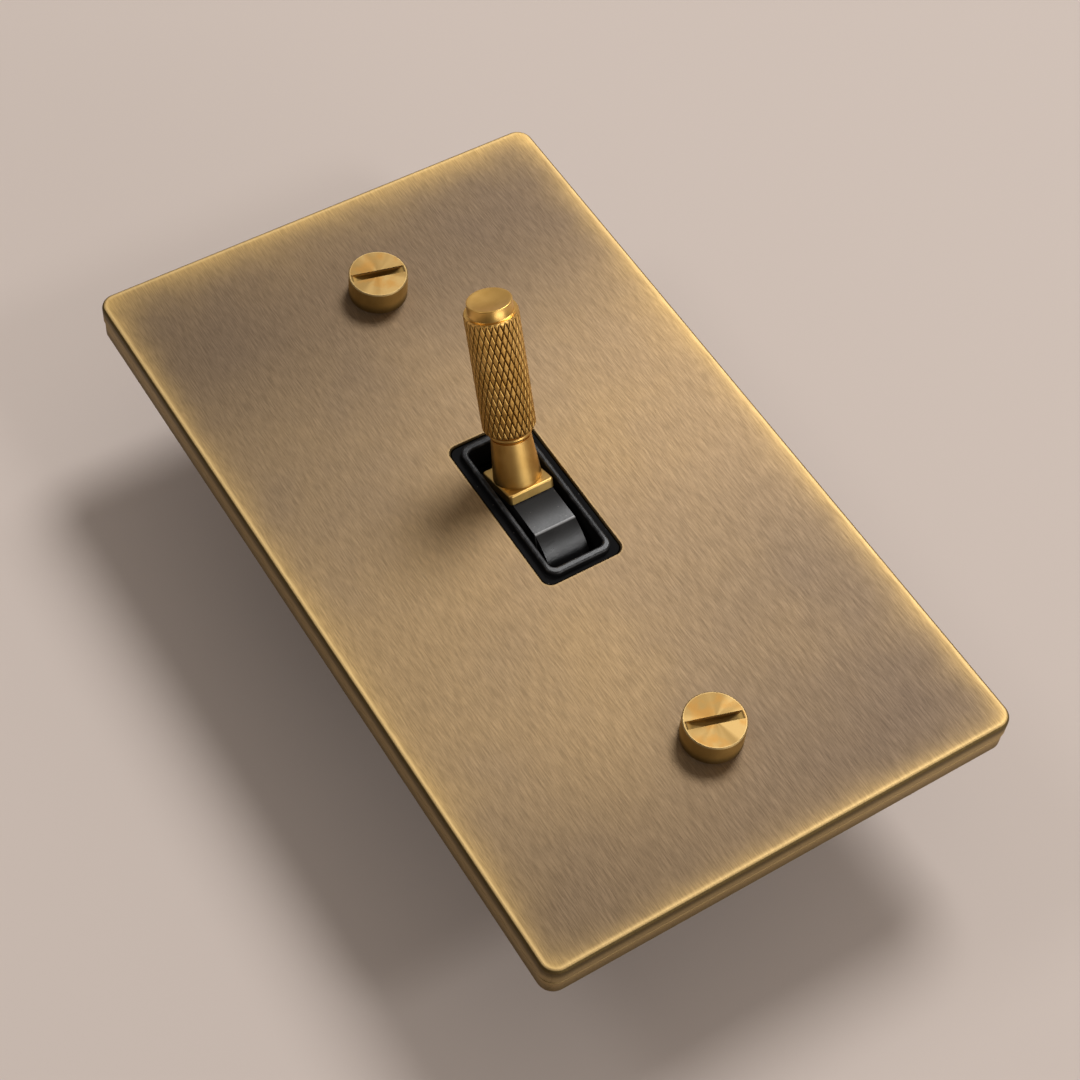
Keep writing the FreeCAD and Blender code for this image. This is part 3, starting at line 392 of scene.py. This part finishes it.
# %% [markdown]
# ## Gold brass screws
# The two plate screws are turned from bare brass and waxed, not darkened. The tool's rings catch the light
# as a burst of soft rays about the centre of each head, painted here as highlight in the face's colour,
# and the face is given a darker brass than the wall as painted shade against the lamp's highlight. A pale
# painted highlight runs round the head's edge, wax leaves the slot darker, and painted shade darkens the
# foot of the head. Both screws are one node, so folding Y about the plate's middle gives one recipe for
# the two.

# %% Turned brass for the plate screws
SCREW_Y = 41.65
SCREW_TOP = 9.2
SCREW_HEAD_R = 4.15


def painted_light_rays(tree, x, y, across, reach):
    """Painted highlight rays about a head's centre: noise read round a circle, so the pattern closes on
    itself.
    """
    turn = calc(tree, "ADD", calc(tree, "ARCTAN2", across, x), calc(tree, "SIGN", y))
    circle = {0: calc(tree, "COSINE", turn), 1: calc(tree, "SINE", turn)}
    circle[2] = calc(tree, "MULTIPLY", reach, 0.06)
    vector = put(tree, "ShaderNodeCombineXYZ", circle).outputs[0]
    noise = put(tree, "ShaderNodeTexNoise", {"Vector": vector, "Scale": 1.6, "Detail": 1.0}).outputs[0]
    return fade(tree, noise, 0.35, 0.68)


def screw_brass():
    """A face with painted highlight rays, deeper gold walls, a painted highlight on the edge, wax in the
    slot and painted shade at the head's foot.
    """
    material, tree, shader = new_material("screw_brass")
    x, y, z = (place(tree, plate_mm, axis) for axis in "XYZ")
    across = calc(tree, "SUBTRACT", calc(tree, "ABSOLUTE", y), SCREW_Y)
    reach = length(tree, x, across)
    painted_rays = painted_light_rays(tree, x, y, across, reach)
    rings = place(tree, lathe, "Ring", Place=reach, Per_mm=9.0, Detail=2.0)
    top = fade(tree, z, SCREW_TOP - 0.2, SCREW_TOP - 0.1)
    cloud = place(tree, clouds, "Cloud", Size=3.0)
    within = fade(tree, reach, SCREW_HEAD_R - 0.1, SCREW_HEAD_R - 0.3)
    slot = calc(tree, "MULTIPLY", fade(tree, z, SCREW_TOP - 0.3, SCREW_TOP - 0.6), within)
    # Painted shade: the wall darkens towards the head's foot, where it stands on the plate.
    foot_shade = calc(tree, "MULTIPLY", fade(tree, z, FRONT_Z + 1.7, FRONT_Z), 0.75)
    # Painted highlight: a pale ring along the head's top edge.
    edge_highlight = calc(tree, "MULTIPLY", fade(tree, reach, SCREW_HEAD_R - 0.3, SCREW_HEAD_R - 0.15), top)
    orange = calc(tree, "MULTIPLY", fade(tree, cloud, 0.4, 1.0), 0.75)
    # The face's darker brass is painted shade against the lamp's highlight, and the rays between its two
    # browns are a painted highlight.
    face = tint(tree, painted_rays, rgb(0.275, 0.174, 0.060), rgb(0.345, 0.228, 0.086))
    face = tint(tree, orange, face, rgb(0.33, 0.17, 0.042))
    wall = tint(tree, cloud, rgb(0.60, 0.385, 0.120), rgb(0.70, 0.47, 0.160))
    colour = tint(tree, top, wall, face)
    colour = tint(tree, calc(tree, "MULTIPLY", edge_highlight, 0.8), colour, rgb(0.52, 0.37, 0.165))
    # Wax darkens the slot; the foot's darkening is painted shade.
    wax_and_shade = calc(tree, "MAXIMUM", calc(tree, "MULTIPLY", slot, 0.6), foot_shade)
    colour = tint(tree, wax_and_shade, colour, rgb(0.10, 0.062, 0.024))
    dull = calc(tree, "MULTIPLY_ADD", painted_rays, -0.05, 0.56)
    feed(tree, shader, Base_Color=colour, Metallic=1.0, Roughness=dull, Normal=bump(tree, rings, 0.002))
    return material


dress(screw_brass(), "plate_screws")

# %% [markdown]
# ## Satin brass for the dolly's foot
# Foot and neck are turned and milled from bar. Fine lathe rings run round the neck and the flat foot keeps
# the short strokes of a file. The dolly leans at rest, so the finish is worked out in the dolly's own
# upright place, where height along the stem is simply Z. The foot's brass is painted brighter than the
# neck's as painted light, and a line of painted shade lies in the corner between them.

# %% Satin brass
FOOT_TOP = 12.9


def satin_brass():
    """A filed foot made brighter as painted light, a deeper turned neck, and a line of painted shade in the
    corner between them.
    """
    material, tree, shader = new_material("satin_brass")
    z = place(tree, dolly_mm, "Z")
    rings = place(tree, lathe, "Ring", Place=z)
    filed = place(tree, strokes, "Streak", Across=5.0, Along=0.9)
    cloud = place(tree, clouds, "Cloud", Size=2.5)
    on_neck = fade(tree, z, FOOT_TOP + 0.02, FOOT_TOP + 0.2)
    colour = tint(tree, cloud, rgb(0.74, 0.45, 0.130), rgb(0.84, 0.54, 0.175))
    # Painted light: the foot's brass is brighter than the neck's.
    painted_light_foot = tint(tree, cloud, rgb(0.88, 0.56, 0.170), rgb(0.95, 0.64, 0.220))
    colour = tint(tree, on_neck, painted_light_foot, colour)
    from_corner = calc(tree, "ABSOLUTE", calc(tree, "SUBTRACT", z, FOOT_TOP))
    # Painted shade: a dark line in the corner where the neck rises from the foot.
    corner_shade = calc(tree, "MULTIPLY", fade(tree, from_corner, 0.5, 0.05), 0.45)
    colour = tint(tree, corner_shade, colour, rgb(0.20, 0.125, 0.045))
    height = put(tree, "ShaderNodeMix", {0: on_neck, 2: filed, 3: rings}).outputs[0]
    dull = calc(tree, "MULTIPLY_ADD", cloud, 0.06, 0.34)
    feed(tree, shader, Base_Color=colour, Metallic=1.0, Roughness=dull, Normal=bump(tree, height, 0.004))
    return material


dress(satin_brass(), "dolly_foot")

# %% [markdown]
# ## The knurled grip
# Two knurling wheels press crossing spiral grooves into the turned grip and leave rows of small diamonds.
# The CAD solid has them as flat facets. Here a finer surface replaces it: a grid of angle and height, where
# the radius drops in a groove. The grid's steps fit the grooves exactly, twelve round each diamond and six
# up each row, so both groove families run along the diagonals of the cells and stay crisp with few faces.

# %% Knurled grip: radius over angle and height
KNURL_COUNT = 28
KNURL_ROWS = 13
KNURL_R = 3.6
KNURL_DEEP = 0.16
KNURL_LOW = 21.15
KNURL_LENGTH = 17.8
END_BREAK = 0.2
BREAK_SLOPE = 0.6
PLAIN_ROWS = 1
STEPS_ROUND = 12
STEPS_UP = 6
COLUMNS = KNURL_COUNT * STEPS_ROUND
GROOVE_PROFILE = np.array([1.0, 0.35, 0.0, 0.0])


def groove(phase_steps):
    """Depth share of one groove family: steps from the nearest groove centre look up a rounded V profile."""
    away = np.abs((phase_steps % STEPS_ROUND) - STEPS_ROUND // 2)
    return GROOVE_PROFILE[np.minimum(away, len(GROOVE_PROFILE) - 1)]


def knurl_rings():
    """Radius and groove depth on the grid: R minus depth times the deeper of two crossing groove families.

    One family keeps column minus row constant and the other column plus row. The last rows fade to a
    narrow plain band, and both ends are broken by a small chamfer.
    """
    column = np.arange(COLUMNS)[None, :]
    row = np.arange(KNURL_ROWS * STEPS_UP + 1)[:, None]
    depth = np.maximum(groove(column - row), groove(column + row))
    depth = depth * np.clip((row.max() - row - PLAIN_ROWS + 1) / 2.0, 0, 1)
    rise = row * (KNURL_LENGTH / row.max())
    to_end = np.minimum(rise, KNURL_LENGTH - rise)
    broken = np.clip(END_BREAK - to_end, 0, END_BREAK) * BREAK_SLOPE
    radius = np.minimum(KNURL_R - KNURL_DEEP * depth, KNURL_R - broken)
    return radius, KNURL_LOW + rise + 0 * column, depth


radius, height, depth = knurl_rings()
print("knurl grid", radius.shape, "deepest", round(float(KNURL_R - radius.min()), 3), "mm")

# %% [markdown]
# The rest of the grip is a plain turned profile: a bore for the stud, a groove and a small bead over the
# neck, the two shoulders of the knurl, and a cap with a rounded edge and a shallow dish. Each profile point
# becomes one more ring of the same grid, so the whole grip is a single closed surface with a fan at
# each end.

# %% Knurled grip: the profile round the knurl
NECK_TOP = 19.65
NECK_TOP_R = 2.7
SEAT_GROOVE_R = 2.45
BEAD_LOW = 19.95
BEAD_TALL = 0.65
BEAD_BULGE = 0.25
BORE_R = 1.3
BORE_TOP = 33.5
BORE_POINT = 0.6
KNURL_FOOT_R = 3.1
SHOULDER_R = 3.2
CAP_FILLET = 0.03
SHARP_ANGLE = math.radians(62)
CAP_R = 3.0
CAP_TALL = 1.6
CAP_TOP = KNURL_LOW + KNURL_LENGTH + CAP_TALL
CAP_EDGE = 0.12
DISH_R = 2.75
DISH_DEEP = 0.25


def lower_profile():
    """Radii and heights up the bore, round a groove and the bead, half an ellipse, to the knurl's end."""
    angle = np.linspace(math.pi, 0, 13)
    bead_r = NECK_TOP_R + BEAD_BULGE * np.sin(angle)
    bead_z = BEAD_LOW + BEAD_TALL * (1 + np.cos(angle)) / 2
    r = np.concatenate([[BORE_R, BORE_R, SEAT_GROOVE_R, SEAT_GROOVE_R], bead_r, [NECK_TOP_R, KNURL_FOOT_R]])
    z = np.concatenate([[BORE_TOP, NECK_TOP, NECK_TOP, BEAD_LOW], bead_z, [KNURL_LOW, KNURL_LOW]])
    return r, z


def upper_profile():
    """Radii and heights over the shoulder, up the cap, round its edge and into a dish of spherical form."""
    top = KNURL_LOW + KNURL_LENGTH
    bend = np.linspace(0, math.pi / 2, 6)
    edge_r = CAP_R - CAP_EDGE + CAP_EDGE * np.cos(bend)
    edge_z = CAP_TOP - CAP_EDGE + CAP_EDGE * np.sin(bend)
    dish_r = DISH_R * np.linspace(1, 0.06, 9)
    dish_z = CAP_TOP - DISH_DEEP * (1 - (dish_r / DISH_R) ** 2)
    r = np.concatenate([[SHOULDER_R, CAP_R + CAP_FILLET, CAP_R], edge_r, dish_r])
    z = np.concatenate([[top, top, top + CAP_FILLET], edge_z, dish_z])
    return r, z


low_r, low_z = lower_profile()
high_r, high_z = upper_profile()
print("profile rings below", len(low_r), "above", len(high_r))

# %% [markdown]
# Now the rings are stacked into one array of points. Each cell is cut along the diagonal that follows its
# deeper groove. The grip was worked out upright, so the points are leaned about the pivot at the end, and
# the object itself stays at the origin.

# %% Knurled grip: mesh
def leaned(points_mm):
    """Upright points in millimetres, leaned about the pivot's X axis, in metres."""
    turn = np.array(Matrix.Rotation(-LEAN, 3, "X"))
    return points_mm * 0.001 @ turn.T + np.array(PIVOT)


def grip_cells(rings, low_count, knurled):
    """Two triangles a cell: cut along column-row where that groove is deeper, else along column+row."""
    ring, column = np.meshgrid(np.arange(rings - 1), np.arange(COLUMNS), indexing="ij")
    right = (column + 1) % COLUMNS
    a, b = ring * COLUMNS + column, ring * COLUMNS + right
    c, d = b + COLUMNS, a + COLUMNS
    row = ring - low_count
    rising = groove(column - row) >= groove(column + 1 + row)
    rising = np.where((row >= 0) & (row < knurled), rising, True)[..., None]
    one = np.where(rising, np.stack([a, b, c], -1), np.stack([a, b, d], -1))
    two = np.where(rising, np.stack([a, c, d], -1), np.stack([b, c, d], -1))
    return np.concatenate([one.reshape(-1, 3), two.reshape(-1, 3)])


def knurled_grip_mesh():
    """The closed surface: stacked rings of points, a pole at each end and a fan of triangles to it."""
    rows = [np.repeat(r[:, None], COLUMNS, 1) for r in (low_r, high_r)]
    levels = [np.repeat(z[:, None], COLUMNS, 1) for z in (low_z, high_z)]
    r = np.concatenate([rows[0], radius, rows[1]])
    z = np.concatenate([levels[0], height, levels[1]])
    dark = np.concatenate([0 * rows[0], depth, 0 * rows[1]])
    angle = np.arange(COLUMNS) * 2 * math.pi / COLUMNS
    points = np.stack([r * np.cos(angle), r * np.sin(angle), z], -1).reshape(-1, 3)
    poles = np.array([[0, 0, BORE_TOP + BORE_POINT], [0, 0, CAP_TOP - DISH_DEEP]])
    count = len(points)
    cells = grip_cells(len(r), len(low_r), len(radius))
    step = np.arange(COLUMNS)
    following = (step + 1) % COLUMNS
    last = (len(r) - 1) * COLUMNS
    floor_fan = np.stack([following, step, 0 * step + count], -1)
    cap_fan = np.stack([last + step, last + following, 0 * step + count + 1], -1)
    faces = np.concatenate([cells, floor_fan, cap_fan])
    mesh = bpy.data.meshes.new("fine_grip")
    mesh.from_pydata(leaned(np.concatenate([points, poles])), [], faces.tolist())
    mesh.polygons.foreach_set("use_smooth", np.ones(len(faces), bool))
    mesh.set_sharp_from_angle(angle=SHARP_ANGLE)
    shade = mesh.attributes.new("groove", "FLOAT", "POINT")
    shade.data.foreach_set("value", np.append(dark.ravel(), [0, 0]).astype(np.float32))
    mesh.update()
    return mesh


fine_grip = bpy.data.objects.new("fine_grip", knurled_grip_mesh())
bpy.context.scene.collection.objects.link(fine_grip)
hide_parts("knurled_grip")
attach(fine_grip, "dolly")
print("fine grip:", len(fine_grip.data.polygons), "triangles")

# %% [markdown]
# ## Finish of the grip
# Wax and tarnish stay in the grooves, and fingers keep the diamonds bright. The mesh carries the groove
# depth as an attribute, so the dark lines follow the real grooves instead of a pattern laid over them.

# %% Knurled brass
def knurled_brass():
    """Bright diamonds, and grooves that turn dark and dull with the depth stored on the mesh."""
    material, tree, shader = new_material("knurled_brass")
    sunk = put(tree, "ShaderNodeAttribute", attribute_name="groove").outputs["Fac"]
    z = place(tree, dolly_mm, "Z")
    cloud = place(tree, clouds, "Cloud", Size=3.0)
    rings = place(tree, lathe, "Ring", Place=z)
    colour = tint(tree, cloud, rgb(0.67, 0.39, 0.100), rgb(0.77, 0.475, 0.142))
    lines = fade(tree, sunk, 0.1, 0.75)
    colour = tint(tree, calc(tree, "MULTIPLY", lines, 0.93), colour, rgb(0.075, 0.036, 0.010))
    dull = calc(tree, "MULTIPLY_ADD", lines, 0.3, 0.35)
    feed(tree, shader, Base_Color=colour, Metallic=1.0, Roughness=dull, Normal=bump(tree, rings, 0.003))
    return material


fine_grip.data.materials.append(knurled_brass())
dress(fine_grip.data.materials[0], "knurled_grip")

# %% [markdown]
# ## Black mouldings
# Cover, rocker and base are moulded in black plastic. It is never a flat black: the crest of the collar's
# lip is rubbed glossy, with scuffs lightened as painted glints, dust sits in the corners and the rocker's
# ridge carries a pale painted highlight. One function makes what the three share, and the collar and the
# rocker add their own wear and painted highlights.

# %% Black plastic
LIP_TOP = 6.05
NEAR_LIP = -11.0
RIDGE_Y = 8.83


def black_plastic(name, dullness, gloss):
    """Black moulding, pitted, clouded and dusty; returns what a worn piece adds to."""
    material, tree, shader = new_material(name)
    cloud = place(tree, clouds, "Cloud", Size=4.0)
    pits = place(tree, clouds, "Cloud", Size=0.3)
    dust = place(tree, specks, "Speck", Spacing=0.9, Share=0.45, Radius=0.12)
    colour = tint(tree, cloud, rgb(0.0035, 0.0035, 0.004), rgb(0.007, 0.007, 0.0075))
    dull = calc(tree, "MULTIPLY_ADD", cloud, 0.06, dullness)
    feed(tree, shader, Specular_IOR_Level=gloss, Normal=bump(tree, pits, 0.004))
    return material, tree, shader, colour, dull, cloud, dust


def dusty(tree, shader, colour, dull, dust):
    """Lay the dust over the finished colour and feed both to the shader."""
    colour = tint(tree, calc(tree, "MULTIPLY", dust, 0.5), colour, rgb(0.26, 0.24, 0.21))
    feed(tree, shader, Base_Color=colour, Roughness=dull)


def black_collar():
    """The shoulder is dull, the lip's crest is rubbed smooth, most of all at the near end, and its scuffs
    are lightened as painted glints.
    """
    material, tree, shader, colour, dull, cloud, dust = black_plastic("black_collar", 0.84, 0.13)
    y, z = (place(tree, plate_mm, axis) for axis in "YZ")
    crest = fade(tree, z, LIP_TOP - 0.42, LIP_TOP - 0.1)
    near_end = calc(tree, "MULTIPLY", crest, fade(tree, y, NEAR_LIP + 2.0, NEAR_LIP))
    scuffs = fade(tree, place(tree, clouds, "Cloud", Size=1.0), 0.45, 1.0)
    # Scuffs on the crest are lightened: partly real scuffing, partly painted glints.
    scuff_and_glint = calc(tree, "MULTIPLY", crest, calc(tree, "MULTIPLY_ADD", scuffs, 0.6, 0.2))
    colour = tint(tree, scuff_and_glint, colour, rgb(0.042, 0.042, 0.044))
    dull = calc(tree, "MULTIPLY_ADD", crest, -0.54, dull)
    feed(tree, shader, Coat_Weight=calc(tree, "MULTIPLY", near_end, 0.4), Coat_Roughness=0.3)
    settled = calc(tree, "MULTIPLY", dust, fade(tree, z, FRONT_Z - 1.0, FRONT_Z + 0.2))
    dusty(tree, shader, colour, dull, settled)
    return material


def black_rocker():
    """Glossy from use, dull beside the foot, with a pale painted highlight along the ridge."""
    material, tree, shader, colour, dull, cloud, dust = black_plastic("black_rocker", 0.27, 0.38)
    away = calc(tree, "ABSOLUTE", place(tree, dolly_mm, "Y"))
    # Painted highlight: a pale line along the ridge.
    ridge_highlight = fade(tree, calc(tree, "ABSOLUTE", calc(tree, "SUBTRACT", away, RIDGE_Y)), 0.2, 0.04)
    colour = tint(tree, calc(tree, "MULTIPLY_ADD", cloud, 0.3, 0.1), colour, rgb(0.012, 0.012, 0.012))
    colour = tint(tree, calc(tree, "MULTIPLY", ridge_highlight, 0.8), colour, rgb(0.30, 0.30, 0.30))
    dull = calc(tree, "ADD", dull, fade(tree, away, 8.6, 4.2, 0.0, 0.5))
    dusty(tree, shader, colour, dull, calc(tree, "MULTIPLY", dust, 0.4))
    return material


def black_base():
    """The shared moulding with its dust, and no wear of its own."""
    material, tree, shader, colour, dull, _, dust = black_plastic("black_base", 0.44, 0.4)
    dusty(tree, shader, colour, dull, dust)
    return material


dress(black_collar(), "switch_cover")
dress(black_rocker(), "rocker")
dress(black_base(), "switch_base")

# %% [markdown]
# ## Metal behind the plate
# The strap and the screws that hold the halves together are zinc plated, which dries in a cloudy bluish
# film. Pins, stud and spring are bright drawn steel with fine lines. The terminals are stamped from plain
# brass. One recipe with two colours, a cloud size and a brush scale covers all of them.

# %% Plated, drawn and stamped metal
def worked_metal(name, light, dark, cloud_mm, across, dullness):
    """Two colours mixed by clouds of one size, with lines so many to the millimetre and a few stains."""
    material, tree, shader = new_material(name)
    cloud = place(tree, clouds, "Cloud", Size=cloud_mm)
    line = place(tree, strokes, "Streak", Across=across, Along=0.5)
    stain = place(tree, specks, "Speck", Spacing=2.2, Share=0.25, Radius=0.2)
    colour = tint(tree, cloud, light, dark)
    colour = tint(tree, calc(tree, "MULTIPLY", line, 0.2), colour, dark)
    colour = tint(tree, calc(tree, "MULTIPLY", stain, 0.35), colour, rgb(0.09, 0.075, 0.06))
    dull = calc(tree, "MULTIPLY_ADD", cloud, 0.14, dullness)
    feed(tree, shader, Base_Color=colour, Metallic=1.0, Roughness=dull, Normal=bump(tree, line, 0.004))
    return material


zinc = worked_metal("plated_steel", rgb(0.60, 0.61, 0.62), rgb(0.43, 0.46, 0.50), 5.0, 4.0, 0.32)
drawn = worked_metal("bright_steel", rgb(0.66, 0.66, 0.65), rgb(0.48, 0.48, 0.48), 3.0, 7.0, 0.22)
stamped = worked_metal("contact_brass", rgb(0.74, 0.53, 0.22), rgb(0.55, 0.36, 0.13), 4.0, 5.0, 0.30)
silver = worked_metal("silver_alloy", rgb(0.83, 0.81, 0.77), rgb(0.60, 0.57, 0.52), 1.5, 5.0, 0.26)
green = worked_metal("green_zinc", rgb(0.07, 0.36, 0.15), rgb(0.035, 0.23, 0.085), 2.0, 5.0, 0.34)
dress(zinc, "strap", "housing_screws")
dress(drawn, "pivot_pin", "dolly_stud", "detent_spring")
dress(stamped, "moving_contact", "upper_terminal", "lower_terminal", "common_terminal", "terminal_screws")
dress(silver, "moving_buttons", "fixed_buttons")
dress(green, "ground_screw")

# %% [markdown]
# ## The detent spring
# In the rocker's tail a small coil spring pushes the plunger against the see-saw. The spring gets shorter as
# the plunger is pressed in; here a finer spring of fixed length, drawn as a helix, replaces the CAD solid.

# %% Detent spring
SPRING_LOW = -5.97
SPRING_RISE = 3.04
SPRING_TURNS = 3
SPRING_COIL_R = 1.32
SPRING_WIRE_R = 0.20
SPRING_STEPS = 48
WIRE_SIDES = 12


def spring_mesh():
    """A helix: turn and height grow together, and each step draws a small circle of wire about the path."""
    step = np.arange(SPRING_TURNS * SPRING_STEPS + 1)[:, None]
    turn = step * 2 * math.pi / SPRING_STEPS
    around = np.arange(WIRE_SIDES)[None, :] * 2 * math.pi / WIRE_SIDES
    out = SPRING_COIL_R + SPRING_WIRE_R * np.cos(around)
    up = SPRING_LOW + SPRING_RISE * step / step.max() + SPRING_WIRE_R * np.sin(around)
    points = np.stack([out * np.cos(turn), out * np.sin(turn), up], -1).reshape(-1, 3)
    ring, side = np.meshgrid(np.arange(len(step) - 1), np.arange(WIRE_SIDES), indexing="ij")
    a = (ring * WIRE_SIDES + side).ravel()
    b = (ring * WIRE_SIDES + (side + 1) % WIRE_SIDES).ravel()
    walls = np.stack([a, a + WIRE_SIDES, b + WIRE_SIDES, b], -1).tolist()
    first_end = list(range(WIRE_SIDES))
    last_end = [len(points) - 1 - k for k in range(WIRE_SIDES)]
    mesh = bpy.data.meshes.new("fine_spring")
    mesh.from_pydata(leaned(points), [], walls + [first_end, last_end])
    mesh.polygons.foreach_set("use_smooth", np.ones(len(mesh.polygons), bool))
    mesh.set_sharp_from_angle(angle=SHARP_ANGLE)
    mesh.materials.append(drawn)
    mesh.update()
    return mesh


fine_spring = bpy.data.objects.new("fine_spring", spring_mesh())
bpy.context.scene.collection.objects.link(fine_spring)
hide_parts("detent_spring")
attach(fine_spring, "dolly")
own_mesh(fine_spring)

# %% [markdown]
# ## Fibre washers and the nylon nib
# The washers that keep the plate screws captive are punched from red vulcanised fibre, with a faint woven
# fleck. The plunger is natural nylon, milky and slightly glossy. Neither is metal, so one plain recipe
# with a cloud and a fleck is enough.

# %% Fibre and nylon
def plain_stuff(name, light, dark, fleck_mm, dullness):
    """Two colours mixed by small clouds, with flecks so many millimetres apart."""
    material, tree, shader = new_material(name)
    cloud = place(tree, clouds, "Cloud", Size=1.5)
    fleck = place(tree, specks, "Speck", Spacing=fleck_mm, Share=0.4, Radius=0.3)
    colour = tint(tree, cloud, light, dark)
    colour = tint(tree, calc(tree, "MULTIPLY", fleck, 0.3), colour, dark)
    dull = calc(tree, "MULTIPLY_ADD", cloud, 0.1, dullness)
    feed(tree, shader, Base_Color=colour, Roughness=dull, Normal=bump(tree, cloud, 0.01))
    return material


dress(plain_stuff("red_fibre", rgb(0.34, 0.10, 0.06), rgb(0.20, 0.055, 0.035), 0.4, 0.6), "screw_retainers")
dress(plain_stuff("milky_nylon", rgb(0.84, 0.83, 0.77), rgb(0.74, 0.72, 0.64), 0.6, 0.38), "plunger")

# %% [markdown]
# ## Floor and light
# The switch lies on a plain pale floor, on the back of its base. The main lamp stands to the right and
# behind, which throws the shadow to the near left. A weak lamp in front puts the soft band on the black
# drum, a low panel puts the bright band on the round neck, a strip behind on the left draws the bright line
# along the plate's left rim, a far panel lights the foot and the cap, and a room that darkens towards the
# horizon fills the rest. Together they come to about one, so a colour renders about as it is written.

# %% Floor
FLOOR_Z = -0.0215
FLOOR_HALF = 2.5
floor_mesh = bpy.data.meshes.new("floor")
corners = np.array([[-1, -1], [1, -1], [1, 1], [-1, 1]]) * FLOOR_HALF
floor_mesh.from_pydata(np.column_stack([corners, np.full(4, FLOOR_Z)]), [], [(0, 1, 2, 3)])
floor = bpy.data.objects.new("floor", floor_mesh)
bpy.context.scene.collection.objects.link(floor)
pale, tree, shader = new_material("pale_floor")
feed(tree, shader, Base_Color=rgb(0.61, 0.525, 0.475), Roughness=0.85)
floor_mesh.materials.append(pale)
print("floor at", FLOOR_Z, "m, under the back of the base")


# %% Lamps
def soft_lamp(name, way, away, width, tall, watts):
    """A flat lamp that faces the switch: its way from the switch, its distance and size in metres."""
    data = bpy.data.lights.new(name, "AREA")
    data.shape = "ELLIPSE"
    data.size = width
    data.size_y = tall
    data.energy = watts
    lamp = bpy.data.objects.new(name, data)
    bpy.context.scene.collection.objects.link(lamp)
    way = Vector(way).normalized()
    lamp.matrix_world = Matrix.Translation(way * away) @ way.to_track_quat("Z", "Y").to_matrix().to_4x4()
    return lamp


soft_lamp("main_lamp", (0.50, 0.35, 0.79), away=1.8, width=0.68, tall=0.68, watts=20.0)
soft_lamp("front_lamp", (0.35, -0.64, 0.68), away=0.8, width=0.16, tall=0.16, watts=0.9)
soft_lamp("low_panel", (0.18, -0.96, 0.20), away=1.4, width=1.2, tall=0.6, watts=4.8)
soft_lamp("rim_strip", (-0.45, 0.50, 0.74), away=0.9, width=0.45, tall=0.12, watts=0.8)
soft_lamp("far_panel", (0.35, 0.88, 0.33), away=0.9, width=0.5, tall=0.3, watts=0.13)

# %% Room
ROOM_LEVEL = 0.15
ROOM_RISE = 0.18
ROOM_RIGHT = 0.16
ROOM_LEAST = 0.14
world = bpy.data.worlds.new("soft_room")
bpy.context.scene.world = world
world.use_nodes = True
sky = world.node_tree
way = put(sky, "ShaderNodeSeparateXYZ", {0: put(sky, "ShaderNodeTexCoord").outputs["Generated"]})
glow = calc(sky, "MULTIPLY_ADD", way.outputs["Z"], ROOM_RISE, ROOM_LEVEL)
glow = calc(sky, "MULTIPLY_ADD", way.outputs["X"], ROOM_RIGHT, glow)
room = sky.nodes["Background"]
room.inputs["Color"].default_value = rgb(1.0, 0.89, 0.79)
sky.links.new(calc(sky, "MAXIMUM", glow, ROOM_LEAST), room.inputs["Strength"])
print("room", round(ROOM_LEVEL + ROOM_RISE, 2), "overhead and nowhere below", ROOM_LEAST)
